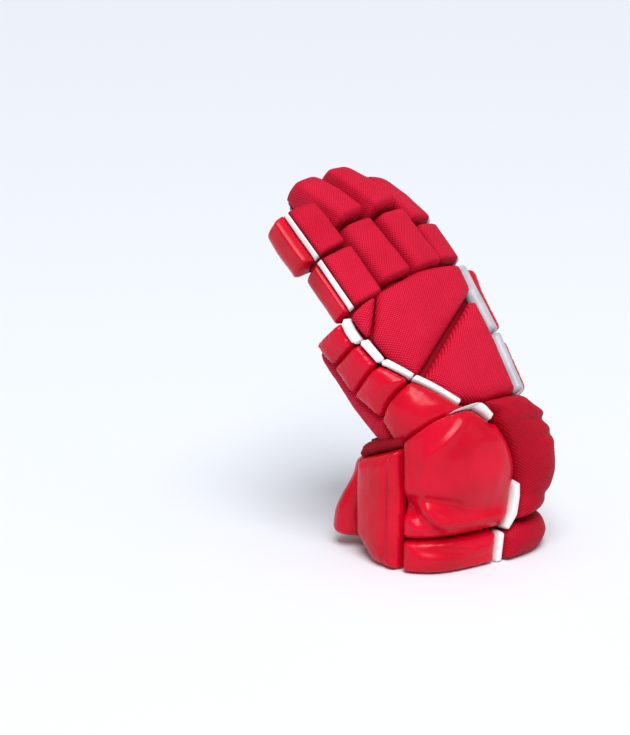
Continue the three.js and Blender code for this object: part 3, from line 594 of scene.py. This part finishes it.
# Spacing of the stations across and along a piece, and those that crowd at its edges
ROLL_STEPS = (0.7, 1.2)
ROLL_ACROSS = (0, 0.08, 0.3, 0.7, 1.2)
ROLL_ALONG = (0, 0.15, 0.6, 1.3, 2.2)
PALM_STEPS = (0.6, 1.6)
PALM_ACROSS = (0, 0.1, 0.35, 0.8)
PALM_ALONG = (0, 0.15, 0.6, 1.2)
SHEET_EDGE = (0, 0.15, 0.6, 1.4)


def graded(a, b, step, near):
    """Stations from a to b that crowd at both ends"""
    lead = [x for x in near if x < (b - a) / 2]
    inner = np.linspace(a + near[-1], b - near[-1], max(2, int((b - a - 2 * near[-1]) / step) + 1))
    return np.concatenate([[a + x for x in lead[:-1]], inner, [b - x for x in reversed(lead[:-1])]])


def roll_mesh(name, limb, u_range, s_range, top, ends, u_round=1.6, bumps=None, crown=0):
    """Closed padded roll on a finger between two u and two s; ends are the rounding at both s ends"""
    us = graded(*u_range, ROLL_STEPS[0], ROLL_ACROSS)
    ss = graded(*s_range, ROLL_STEPS[1], ROLL_ALONG)
    gu, gs = np.meshgrid(us, ss)
    du = np.minimum(gu - us[0], us[-1] - gu)
    ku = rounded(du, u_round, 2.2)
    ks = rounded(gs - ss[0], ends[0], 2.4) * rounded(ss[-1] - gs, ends[1], 2.4)
    k = (top + crown * (1 - smooth(*ROLL_FLAT, np.abs(gu)))) * ku * ks
    if bumps is not None:
        k = k + bumps(gu, gs) * ku * ks
    upper = limb.roll(gu, gs, np.maximum(k, 0))
    lower = limb.roll(gu, gs, 0 * k)
    wall = limb.depth * (1 - ks)
    side = np.where(gs < (ss[0] + ss[-1]) / 2, -1, 1)
    uv = np.stack([gu * ROLL_STRETCH, gs + side * wall], -1).reshape(-1, 2)
    return closed_grid(name, upper, lower, np.concatenate([uv, uv]))


# Looks
def new_material(name):
    mat = bpy.data.materials.new(name)
    mat.use_nodes = True
    nodes = mat.node_tree.nodes
    nodes.clear()
    shader = nodes.new("ShaderNodeBsdfPrincipled")
    out = nodes.new("ShaderNodeOutputMaterial")
    mat.node_tree.links.new(shader.outputs["BSDF"], out.inputs["Surface"])
    return mat, shader


class Net:
    """Short calls for the nodes of one material"""

    def __init__(self, mat):
        self.nodes = mat.node_tree.nodes
        self.links = mat.node_tree.links

    def add(self, kind, inputs=(), **settings):
        node = self.nodes.new("ShaderNode" + kind)
        for key, value in settings.items():
            setattr(node, key, value)
        for key, value in dict(inputs).items():
            if isinstance(value, bpy.types.NodeSocket):
                self.links.new(value, node.inputs[key])
            else:
                node.inputs[key].default_value = value
        return node

    def math(self, how, a, b=0.0):
        return self.add("Math", {0: a, 1: b}, operation=how).outputs[0]

    def noise(self, vector, scale, detail=3.0):
        return self.add("TexNoise", {"Vector": vector, "Scale": scale, "Detail": detail}).outputs["Fac"]

    def ramp(self, fac, stops):
        node = self.add("ValToRGB", {"Fac": fac})
        line = node.color_ramp
        stops = list(stops)
        while len(line.elements) < len(stops):
            line.elements.new(0.5)
        for element, (place, colour) in zip(line.elements, stops):
            element.position = place
            element.color = (*colour, 1)
        return node.outputs["Color"]

    def spread(self, fac, low, high):
        return self.add("MapRange", {"Value": fac, "To Min": low, "To Max": high}).outputs["Result"]

    def bump(self, height, distance, strength=1.0, normal=None):
        inputs = {"Height": height, "Distance": distance, "Strength": strength}
        if normal is not None:
            inputs["Normal"] = normal
        return self.add("Bump", inputs).outputs["Normal"]

    def place(self):
        return self.add("TexCoord").outputs["Object"]


def set_shader(net, shader, colour, roughness, normal, **values):
    net.links.new(colour, shader.inputs["Base Color"])
    net.links.new(roughness, shader.inputs["Roughness"])
    net.links.new(normal, shader.inputs["Normal"])
    for key, value in values.items():
        shader.inputs[key.replace("_", " ")].default_value = value


# Noise scales of the looks, per metre, and where the tones stand on their ramps
PATCHES, SPECKLE, GRAIN, CREASES = 22.0, 420.0, 900.0, 75.0
CREASE_DEPTH = 0.0009
LEATHER_STOPS = (0.28, 0.5, 0.74)
THREAD, MESH_PATCHES = 900.0, 30.0
MESH_STOPS = (0.12, 0.5, 0.98)
CLOTH_PATCHES = 40.0
CLOTH_STOPS = (0.32, 0.66)


def leather(name, dark, mid, light, rough=(0.30, 0.42), grain=0.00012, coat=0.32, shine=0.06):
    mat, shader = new_material(name)
    net = Net(mat)
    at = net.place()
    broad = net.noise(at, PATCHES, 4.0)
    colour = net.ramp(broad, zip(LEATHER_STOPS, (dark, mid, light)))
    fine = net.noise(at, SPECKLE, 2.0)
    cells = net.add("TexVoronoi", {"Vector": at, "Scale": GRAIN}, feature="F1").outputs["Distance"]
    creases = net.noise(at, CREASES, 5.0)
    normal = net.bump(cells, grain, 0.5)
    normal = net.bump(creases, CREASE_DEPTH, 0.35, normal)
    roughness = net.spread(fine, *rough)
    set_shader(net, shader, colour, roughness, normal, Specular_IOR_Level=shine, Coat_Weight=coat,
               Coat_Roughness=0.22)
    return mat


def woven(name, dark, mid, light, pitch=1.05, rough=(0.5, 0.7), depth=0.00055):
    """Open net cloth: staggered raised loops by the cloth coordinates, which are in millimetres, with
    painted shade between the loops and painted sheen on them
    """
    mat, shader = new_material(name)
    net = Net(mat)
    uv = net.add("UVMap", uv_map="cloth").outputs["UV"]
    split = net.add("SeparateXYZ", {"Vector": uv})
    turn = math.pi / pitch
    waves = []
    for axis in ("X", "Y"):
        waves.append(net.math("COSINE", net.math("MULTIPLY", split.outputs[axis], turn)))
    loops = net.math("MULTIPLY", waves[0], waves[1])
    loops = net.add("MapRange", {"Value": loops, "From Min": -1.0, "From Max": 1.0}).outputs["Result"]
    thread = net.noise(net.place(), THREAD, 2.0)
    height = net.math("ADD", loops, net.math("MULTIPLY", thread, 0.35))
    patches = net.noise(net.place(), MESH_PATCHES, 3.0)
    # The tone follows the loops' height, plus random patches: painted shade in the hollows between
    # loops, painted sheen on the raised loops
    tone = net.math("ADD", net.math("MULTIPLY", loops, 0.75), net.math("MULTIPLY", patches, 0.3))
    colour = net.ramp(tone, zip(MESH_STOPS, (dark, mid, light)))
    normal = net.bump(height, depth, 1.0)
    roughness = net.spread(thread, *rough)
    set_shader(net, shader, colour, roughness, normal, Specular_IOR_Level=0.12)
    return mat


def cloth(name, dark, light, scale=650.0, rough=(0.75, 0.92), depth=0.0004):
    mat, shader = new_material(name)
    net = Net(mat)
    at = net.place()
    fibre = net.noise(at, scale, 5.0)
    blot = net.noise(at, CLOTH_PATCHES, 3.0)
    tone = net.math("ADD", net.math("MULTIPLY", fibre, 0.6), net.math("MULTIPLY", blot, 0.4))
    colour = net.ramp(tone, zip(CLOTH_STOPS, (dark, light)))
    normal = net.bump(fibre, depth, 0.8)
    set_shader(net, shader, colour, net.spread(fibre, *rough), normal, Specular_IOR_Level=0.2)
    return mat


# Dark, middle and light tone of each look
LEATHER_TONES = ((0.50, 0.0004, 0.014), (0.62, 0.0006, 0.020), (0.72, 0.001, 0.028))
# The hand's red mesh has a light tone painted lighter and pinker: painted sheen from light falling from
# above
MESH_TONES = ((0.30, 0.0004, 0.010), (0.60, 0.003, 0.028), (0.84, 0.022, 0.08))
# The cuff's red mesh is the same mesh painted darker: painted shade, as it faces down and away from the
# light
CUFF_MESH_SHADED_TONES = ((0.27, 0.0003, 0.007), (0.43, 0.0008, 0.015), (0.54, 0.004, 0.030))
WHITE_TONES = ((0.72, 0.73, 0.73), (0.84, 0.85, 0.85), (0.90, 0.91, 0.92))
SILVER_TONES = ((0.30, 0.32, 0.36), (0.46, 0.48, 0.52), (0.62, 0.64, 0.68))
PALM_TONES = ((0.20, 0.21, 0.225), (0.36, 0.375, 0.39))
LINING_TONES = ((0.20, 0.0002, 0.006), (0.38, 0.0006, 0.014))
BLACK_TONES = ((0.006, 0.006, 0.008), (0.03, 0.03, 0.034))

LEATHER = leather("red_leather_look", *LEATHER_TONES)
MESH = woven("red_mesh_look", *MESH_TONES)
# Darker copy of the red mesh for the cuff: painted shade
CUFF_MESH_SHADED = woven("red_mesh_cuff_shaded_look", *CUFF_MESH_SHADED_TONES, pitch=0.95, rough=(0.55, 0.72), depth=0.0003)
WHITE = leather("white_band_look", *WHITE_TONES, rough=(0.38, 0.55), grain=0.00008, coat=0.05)
SILVER = leather("silver_piping_look", *SILVER_TONES, rough=(0.16, 0.30), grain=0.00005, coat=0.5)
PALM = cloth("grey_palm_look", *PALM_TONES)
LINING = cloth("red_fabric_look", *LINING_TONES)
BLACK = cloth("black_lining_look", *BLACK_TONES)

# Material and slot of each look
LOOKS = {
    "leather": (LEATHER, "red_leather"),
    "mesh": (MESH, "red_mesh"),
    "shaded cuff mesh": (CUFF_MESH_SHADED, "red_mesh"),
    "white": (WHITE, "white_band"),
    "silver": (SILVER, "silver_piping"),
    "palm": (PALM, "grey_palm"),
    "lining": (LINING, "red_fabric"),
    "black": (BLACK, "black_lining"),
}


def dress(obj, look, nodes):
    mat, slot = LOOKS[look]
    obj.data.materials.clear()
    obj.data.materials.append(mat)
    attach(obj, "root")
    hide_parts(*nodes)
    return obj


# Heights of the pads: the crown's overshoot and reach, the waves of the gathers at a seam and how
# far in they fade, and broad and fine unevenness as (height, size, seed)
CROWN_OVER = 1.7
CROWN_REACH = 7
GATHER_TURN = 1.15
GATHER_DRIFT = 2.2
GATHER_REACH = 3.2
BROAD_BUMPS = (0.6, 22, 5)
FINE_BUMPS = (0.25, 7, 9)
STRIP_CROWN = 0.06
STRIP_REACH = 9


def bumps_on(flat, height, size, seed):
    return height * noise_at(flat, size, seed)


def plain_top(spec):
    thick = spec["thick"]

    def height(flat, d, arc):
        crown = STRIP_CROWN * thick * (1 - np.exp(-d / STRIP_REACH))
        return thick + crown + 0.35 * noise_at(flat, 16, len(flat) % 7)
    return height


def groove(flat, a, b, width, depth):
    """A soft valley along the line from a to b, fading at both ends"""
    a, b = np.array(a, float), np.array(b, float)
    ab = b - a
    t = np.clip((flat - a) @ ab / (ab @ ab), 0, 1)
    away = np.linalg.norm(flat - a - t[:, None] * ab, axis=1)
    fade = np.sin(np.clip(t, 0.02, 0.98) * math.pi) ** 0.5
    return -depth * fade * np.exp(-(away / width) ** 2)


def puffed(spec, folds, pucker, crown):
    """Full leather pad: crowned, gathered at its seam, with its own soft folds"""
    thick = spec["thick"]

    def height(flat, d, arc):
        top = thick * (1 - crown + crown * CROWN_OVER * (1 - np.exp(-d / CROWN_REACH)))
        gather = np.sin(arc * GATHER_TURN + GATHER_DRIFT * noise_at(flat, 9, 3))
        gather = gather + 0.6 * np.sin(arc * 2 * GATHER_TURN + 1.0)
        top = top + pucker * gather * np.exp(-d / GATHER_REACH)
        top = top + bumps_on(flat, *BROAD_BUMPS) + bumps_on(flat, *FINE_BUMPS)
        for a, b, width, depth in folds:
            top = top + groove(flat, a, b, width, depth)
        for centre, reach, rise in spec.get("domes", ()):
            away = np.linalg.norm((flat - centre) / reach, axis=1)
            top = top + rise * (1 - smooth(0.25, 1.1, away))
        if "slim" in spec:
            high, low, share = spec["slim"]
            top = top * (1 - (1 - share) * smooth(low, high, flat[:, 1]))
        return top
    return height


FOLDS = {
    "cuff_pad_round": [
        ((-58, 58), (-22, 45), 3.4, 3.4),
        ((-56, 52), (-40, 28), 3.0, 4.6),
        ((-48, 50), (-34, 30), 2.6, -2.6),
        ((-44, 36), (16, 32), 4.5, -3.4),
        ((-40, 46), (14, 42), 6.0, 1.4),
        ((-47, 52), (-46, 90), 2.6, -1.6),
        ((-45, 82), (-20, 108), 2.8, -1.8),
        ((-49, 98), (-51, 60), 3.0, 2.6),
    ],
    "cuff_pad_lower": [((-50, 18), (-20, 12), 3.0, 1.8), ((-34, 6), (4, 9), 2.6, 1.4)],
    "cuff_pad_outer": [((-66.8, 89), (-65.6, 3), 1.6, 2.6), ((-63.6, 88), (-63, 4), 1.5, -1.8),
                       ((-61.5, 70), (-61, 6), 1.3, 1.8)],
    "cuff_mesh_upper": [((22, 97), (62, 90), 4.0, 4.2), ((34, 82), (62, 80), 3.0, 1.6),
                        ((30, 42), (60, 36), 4.0, 2.4), ((16, 106), (40, 100), 3.0, 2.2)],
    "cuff_side_pad": [((72, 60), (98, 52), 4.0, 2.0)],
}
# How deep a pad of each look is gathered at its seam, and how much of its height is crown
PUCKER = {"leather": 0.5, "mesh": 0.25, "shaded cuff mesh": 0.25, "lining": 0.7}
CROWN = {"leather": 0.18, "mesh": 0.12, "shaded cuff mesh": 0.12, "lining": 0.18}

for pads, at in ((HAND_PADS, hand_at), (CUFF_PADS, cuff_at)):
    for name, spec in pads.items():
        look = spec["look"]
        if spec.get("strip"):
            height = plain_top(spec)
        else:
            height = puffed(spec, FOLDS.get(name, ()), PUCKER[look], CROWN[look])
        piece = pad_mesh(name, at, spec, height)
        dress(piece, look, [spec.get("node", name)])


# White band round the edge of the round pad
BAND_STATIONS = 181
BAND_SMOOTHING = 8


def band_mesh():
    rows = np.array(ROUND_BAND)
    n = len(rows) - 1
    s = np.linspace(0, n, BAND_STATIONS)
    u, v, half, deep = [np.interp(s, np.arange(n + 1), rows[:, k]) for k in range(4)]
    for _ in range(BAND_SMOOTHING):
        for line in (u, v):
            line[1:-1] = (line[:-2] + line[1:-1] + line[2:]) / 3
    du, dv = np.gradient(u), np.gradient(v)
    run = np.hypot(du, dv)
    across = np.array([-1, -0.97, -0.85, -0.5, 0, 0.5, 0.85, 0.97, 1])
    lift = rounded(1 - np.abs(across), 0.3, 2.4)
    ends = rounded(np.minimum(s, n - s), 0.12, 2.2)
    gu = u[:, None] - across * half[:, None] * (dv / run)[:, None]
    gv = v[:, None] + across * half[:, None] * (du / run)[:, None]
    top = PAD_GAP + (deep[:, None] - PAD_GAP) * lift * ends[:, None]
    upper = cuff_at(gu, gv, top)
    lower = cuff_at(gu, gv, PAD_GAP + 0 * top)
    return closed_grid("cuff_stripe_round", upper, lower, press=under_wrist)


dress(band_mesh(), "white", ["cuff_stripe_round"])

# Finger rolls: a stitched padded roll below and above the joint, with the stripe and the side pad
# of the two outer fingers
LITTLE_TIP_HEIGHT = 0.86
TIP_CROWN = 0.3
STRIPE_U = (8.6, 12.9)
SIDE_U = (13.3, 30)
STRIPE_HEIGHT = 0.98
SIDE_HEIGHT = 1.3
LITTLE_SIDE_TIP_HEIGHT = 1.9


def stitched(seed):
    def bumps(gu, gs):
        flat = np.stack([gu.ravel() * ROLL_STRETCH, gs.ravel()], -1)
        waves = np.cos(gu * ROLL_STRETCH * 2 * math.pi / STITCH_PITCH)
        stitches = 0.05 * waves * np.exp(-(gs - gs.min()) / 2.2)
        return 0.03 * noise_at(flat, 11, seed).reshape(gu.shape) + stitches
    return bumps


def outer_pieces(name, tag, limb, span, bumps):
    """Stripe and side pad of the little or the index finger"""
    sign = -1 if name == "little" else 1
    strip = sorted(u * sign for u in STRIPE_U)
    side = sorted(u * sign for u in SIDE_U)
    ends = (1.6, 8.0 if tag == "tip" else 1.6)
    piece = roll_mesh(f"{name}_stripe_{tag}", limb, strip, span, STRIPE_HEIGHT, ends, 0.7)
    dress(piece, "white" if name == "little" else "silver", [f"{name}_stripe_{tag}"])
    top = LITTLE_SIDE_TIP_HEIGHT if (name, tag) == ("little", "tip") else SIDE_HEIGHT
    piece = roll_mesh(f"{name}_side_{tag}", limb, side, span, top, (4, 5), 3.0, bumps=bumps)
    dress(piece, "leather", [f"{name}_side_{tag}"])


for name in FINGERS:
    limb = LIMBS[name]
    low = (0 if name == "little" else -2, limb.joint - 2)
    high = (limb.joint + 1, roll_end(name))
    wide = {"little": (-8.2, 21), "index": (-21, 8.2)}.get(name, (-21, 21))
    bumps = stitched(len(name))
    for tag, span, ends in (("lower", low, (3.0, 3.0)), ("tip", high, (3.0, 7.5))):
        tall = LITTLE_TIP_HEIGHT if (name, tag) == ("little", "tip") else 1.0
        crown = TIP_CROWN if tag == "tip" and name in ("ring", "middle") else 0
        piece = roll_mesh(f"{name}_roll_{tag}", limb, wide, span, tall, ends, bumps=bumps, crown=crown)
        dress(piece, "mesh", [f"{name}_roll_{tag}"])
        if name in ("little", "index"):
            outer_pieces(name, tag, limb, span, bumps)

# Thumb
limb = LIMBS["thumb"]
low = (25, limb.joint - 2)
high = (limb.joint + 1, roll_end("thumb"))
for tag, span, ends in (("lower", low, (5, 4)), ("tip", high, (4, 8))):
    piece = roll_mesh(f"thumb_roll_{tag}", limb, (-11, 11), span, 1.0, ends, 2.4)
    dress(piece, "leather", [f"thumb_roll_{tag}"])
for tag, sign in (("upper", 1), ("lower", -1)):
    span = sorted((12 * sign, 22.5 * sign))
    piece = roll_mesh(f"thumb_edge_{tag}", limb, span, (30, limb.length - 4), 0.95, (5, 8), 2.4)
    dress(piece, "mesh", [f"thumb_edge_{tag}"])


# Palm side: thin sheets over the stalls and the hand
def sheet_mesh(name, at, us, ss, thick):
    gu, gs = np.meshgrid(us, ss)
    ku = rounded(np.minimum(gu - us[0], us[-1] - gu), 0.8, 2.2)
    ks = rounded(np.minimum(gs - ss[0], ss[-1] - gs), 1.2, 2.2)
    k = thick * ku * ks
    return closed_grid(name, at(gu, gs, PAD_GAP + k), at(gu, gs, PAD_GAP + 0 * k))


# Palm strips: where they lie round each finger, where they start and how far before the end they stop
STRIP_SPANS = {"little": (24, 40.5), "index": (31.5, 48), "thumb": (25, 47)}
STRIP_ENDS = {"thumb": (26, 12)}
for name, limb in LIMBS.items():
    us = graded(*STRIP_SPANS.get(name, (24, 48)), PALM_STEPS[0], PALM_ACROSS)
    start, short = STRIP_ENDS.get(name, (3, 5))
    ss = graded(start, roll_end(name) - short, PALM_STEPS[1], PALM_ALONG)
    dress(sheet_mesh(f"{name}_palm", limb.stall, us, ss, PALM_CLOTH), "palm", [f"{name}_palm"])


def tube_rings(at, levels, heights, count, span):
    u = np.linspace(-span, span, count, endpoint=False)
    return [at(u, np.full(count, v), np.full(count, h)) for v, h in zip(levels, heights)]


def closed_loft(rings):
    count = len(rings[0])
    points = np.concatenate(rings)
    faces = tube_faces(count, len(rings))
    faces.append(tuple(reversed(range(count))))
    faces.append(tuple(range(len(points) - count, len(points))))
    return points, faces


# Palm sheet with an opening round the thumb
us = graded(109, 190, PALM_STEPS[1], SHEET_EDGE)
ss = graded(3, 105, PALM_STEPS[1], SHEET_EDGE)
palm_sheet = sheet_mesh("palm_sheet", hand_at, us, ss, PALM_THICK)
limb = LIMBS["thumb"]
cutter_rings = tube_rings(limb.stall, (-9, 4, 16, 28, 44), (3.4,) * 5, 40, FINGER_ROUND)
cutter = finished(make_object("thumb_cutter", *closed_loft(cutter_rings), smooth_shade=False))
opening = palm_sheet.modifiers.new("opening", "BOOLEAN")
opening.object = cutter
opening.operation = "DIFFERENCE"
opening.solver = "EXACT"
baked(palm_sheet)
dress(palm_sheet, "palm", ["palm_sheet"])


# Lining of the hand, fingers and thumb: one remeshed skin, opened at the wrist and given a thickness
KNUCKLE_V = 100
SKIN_VOXEL = 2.0
SKIN_WALL = 1.8
AROUND_HAND = 72
AROUND_FINGER = 32
HAND_RINGS = (0, 0.2, 0.4, 0.6, 0.8, 0.93, 1)
STALL_RINGS = 12
# Last rings of a stall: how far before its tip, and how far out from the stall's surface
TIP_BEFORE = (7, 2.2, 0.7, 0)
TIP_OUT = (1.2, 1.3, 0.2, -3.0)
# Rings of the web between two fingers: distance along and out
WEB_RINGS = ((-7, -0.6), (0, -0.6), (8, -1.4), (13, -3.5), (16, -7))
THUMB_BULGE, THUMB_BULGE_END = 7, 27


def hand_end(u, end):
    centre = hand_row(KNUCKLE_V)[0]
    x = centre + np.interp(wrap(u / HALF_ROUND), F_GRID, HAND_TABLE[int(KNUCKLE_V - HAND_V[0]), 0])
    return end - (HAND_END - LITTLE_END) * (1 - smooth(-42, -14, x))


def joined_loft(points, faces, rings):
    more, more_faces = closed_loft(rings)
    faces = faces + [tuple(i + len(points) for i in f) for f in more_faces]
    return np.concatenate([points, more]), faces


def lining_skin():
    u = np.linspace(-HALF_ROUND, HALF_ROUND, AROUND_HAND, endpoint=False)
    rings = []
    for t in HAND_RINGS:
        v = -6 + (hand_end(u, HAND_END) + 6) * t
        rings.append(hand_at(u, v, LINING_TOP - (5 if t == 1 else 0)))
    points, faces = closed_loft(rings)
    for name, limb in LIMBS.items():
        start = -2 if name == "thumb" else -7
        tip = roll_end(name) + 0.8
        levels = np.append(np.linspace(start, tip - 12, STALL_RINGS), tip - np.array(TIP_BEFORE))
        heights = np.append(np.full(STALL_RINGS, LINING_TOP), LINING_TOP + np.array(TIP_OUT))
        if name == "thumb":
            heights += THUMB_BULGE * (1 - smooth(0, THUMB_BULGE_END, levels))
        tube = tube_rings(limb.stall, levels, heights, AROUND_FINGER, FINGER_ROUND)
        points, faces = joined_loft(points, faces, tube)
    names = list(FINGERS)
    for a, b in zip(names[:-1], names[1:]):
        u = np.linspace(-FINGER_ROUND, FINGER_ROUND, AROUND_FINGER, endpoint=False)
        rings = []
        for s, h in WEB_RINGS:
            rings.append((LIMBS[a].stall(u, s + 0 * u, h) + LIMBS[b].stall(u, s + 0 * u, h)) / 2)
        points, faces = joined_loft(points, faces, rings)
    obj = finished(make_object("hand_lining", points, faces))
    remesh = obj.modifiers.new("skin", "REMESH")
    remesh.mode = "VOXEL"
    remesh.voxel_size = SKIN_VOXEL * MM
    remesh.use_smooth_shade = True
    relax = obj.modifiers.new("relax", "SMOOTH")
    relax.factor = 0.5
    relax.iterations = 3
    baked(obj)
    bm = bmesh.new()
    bm.from_mesh(obj.data)
    wrist = Vector((WRIST + SHIFT) * MM)
    bmesh.ops.bisect_plane(bm, geom=bm.verts[:] + bm.edges[:] + bm.faces[:], plane_co=wrist,
                           plane_no=Vector(-HAND_ALONG), clear_outer=True)
    bm.to_mesh(obj.data)
    bm.free()
    wall = obj.modifiers.new("wall", "SOLIDIFY")
    wall.thickness = SKIN_WALL * MM
    wall.offset = -1
    return baked(obj)


dress(lining_skin(), "lining", ["hand_lining"] + [f"{name}_lining" for name in LIMBS])


# Lining of the cuff: a shell that stops short of the hand, and a plate that closes it at the wrist
def inside_hand(points, margin):
    local = points - WRIST
    x, y, v = local @ HAND_SIDE, local @ HAND_PALM, local @ HAND_ALONG
    centre, half, back, palm, _ = hand_row(v)
    depth = np.where(y < 0, back, palm) + margin
    n = np.where(y < 0, *HAND_SQUARE)
    return (np.abs((x - centre) / (half + margin)) ** n + np.abs(y / depth) ** n < 1) & (v > -3)


CUFF_COUNT = 120
CUFF_CLOTH = 1.2
PLATE_DROP = 1.8
PLATE_THICK = 1.6


def cuff_lining(name, depth):
    count = CUFF_COUNT
    u = np.linspace(-CUFF_ROUND, CUFF_ROUND, count, endpoint=False)
    end = 98 + 14 * (1 - smooth(50, 100, np.abs(u)))
    for v in np.arange(112, 40, -0.5):
        hit = inside_hand(cuff_at(u, np.full(count, v), LINING_TOP), 0.8) & (end > v - 1)
        end = np.where(hit, v - 1, end)
    rows = np.linspace(0, 1, 30)
    outer = [cuff_at(u, 3 + (end - 3) * t, LINING_TOP - depth) for t in rows]
    inner = [cuff_at(u, 3 + (end - 3) * t, LINING_TOP - depth - CUFF_CLOTH) for t in rows[::-1]]
    rings = outer + inner
    faces = tube_faces(count, len(rings), closed=True)
    return finished(make_object(name, np.concatenate(rings), faces))


def wrist_plate():
    """Ring of cloth from the cuff's lining to the wrist's"""
    count = CUFF_COUNT
    f = np.linspace(-1, 1, count, endpoint=False)
    near = hand_at(f * HALF_ROUND, np.full(count, -0.6), LINING_TOP - 1.0)
    v = np.arange(40, 130, 0.5)
    far = []
    for share in f:
        line = cuff_at(np.full(len(v), share * CUFF_ROUND), v, LINING_TOP - 2.2)
        t = (line - WRIST) @ HAND_ALONG
        far.append(line[np.abs(t + PLATE_DROP).argmin()])
    far = np.array(far)
    flat = (far - WRIST) @ HAND_ALONG
    far = far - HAND_ALONG * (flat + PLATE_DROP)[:, None]
    rings = [near + (far - near) * t for t in np.linspace(0, 1, 6)]
    rings = rings + [r - HAND_ALONG * PLATE_THICK for r in rings[::-1]]
    faces = tube_faces(count, len(rings), closed=True)
    return finished(make_object("wrist_plate", np.concatenate(rings), faces))


dress(cuff_lining("cuff_cover", 0), "lining", ["cuff_lining"])
dress(cuff_lining("cuff_inside", CUFF_CLOTH), "black", ["cuff_lining"])
dress(wrist_plate(), "lining", ["cuff_lining"])

bpy.data.objects.remove(cutter)

# Floor, light and camera
bpy.context.scene.view_settings.view_transform = "Standard"
floor_mesh = bpy.data.meshes.new("floor")
FLOOR_REACH = 40.0
floor_corners = [(x * FLOOR_REACH, y * FLOOR_REACH, 0) for x, y in ((-1, -1), (1, -1), (1, 1), (-1, 1))]
floor_mesh.from_pydata(floor_corners, [], [(0, 1, 2, 3)])
floor = bpy.data.objects.new("floor", floor_mesh)
bpy.context.scene.collection.objects.link(floor)
floor_look, floor_shader = new_material("floor_look")
floor_shader.inputs["Base Color"].default_value = (0.77, 0.80, 0.86, 1)
floor_shader.inputs["Roughness"].default_value = 0.9
floor_mesh.materials.append(floor_look)

world = bpy.data.worlds.new("studio")
bpy.context.scene.world = world
world.use_nodes = True
background = world.node_tree.nodes["Background"].inputs
background["Color"].default_value = (0.96, 0.98, 1.0, 1)
background["Strength"].default_value = 0.38


def add_light(name, light, place, aim):
    obj = bpy.data.objects.new(name, light)
    obj.location = place
    obj.rotation_mode = "QUATERNION"
    obj.rotation_quaternion = (Vector(aim) - Vector(place)).to_track_quat("-Z", "Y")
    bpy.context.scene.collection.objects.link(obj)


sun = bpy.data.lights.new("sun", "SUN")
sun.energy = 2.7
sun.angle = 0.7
add_light("sun", sun, (0, 0, 0), (0.55, 0.95, -2.1))
# Area lights: place, aim, size in metres and power
MIDDLE = (0, 0, 0.13)
AREA_LIGHTS = {
    "key": ((-0.9, -1.2, 1.5), MIDDLE, 0.4, 5.4),
    "fill": ((0.9, -1.7, 0.8), MIDDLE, 0.8, 1.2),
    "top": ((0.1, 0.3, 2.2), (0, 0, 0.1), 1.0, 2.0),
}
for name, (place, aim, size, power) in AREA_LIGHTS.items():
    light = bpy.data.lights.new(name, "AREA")
    light.size = size
    light.energy = power
    add_light(name, light, place, aim)

# Camera fitted to the photo: its focal length and the photo's height in pixels
FOCAL_PX = 2080
PHOTO_HEIGHT_PX = 735
SENSOR = 36
CAMERA_PLACE = Vector((-0.966, -1.2178, 0.538))
CAMERA_BACK = Vector((-0.5649, -0.7862, 0.2504))
CAMERA_UP = Vector((0.1461, 0.2034, 0.9681))
camera_data = bpy.data.cameras.new("camera")
camera_data.sensor_width = SENSOR
camera_data.lens = SENSOR * FOCAL_PX / PHOTO_HEIGHT_PX
camera = bpy.data.objects.new("camera", camera_data)
right = CAMERA_UP.cross(CAMERA_BACK)
turn = Matrix((right, CAMERA_UP, CAMERA_BACK)).transposed()
camera.matrix_world = Matrix.Translation(CAMERA_PLACE) @ turn.to_4x4()
bpy.context.scene.collection.objects.link(camera)
bpy.context.scene.camera = camera
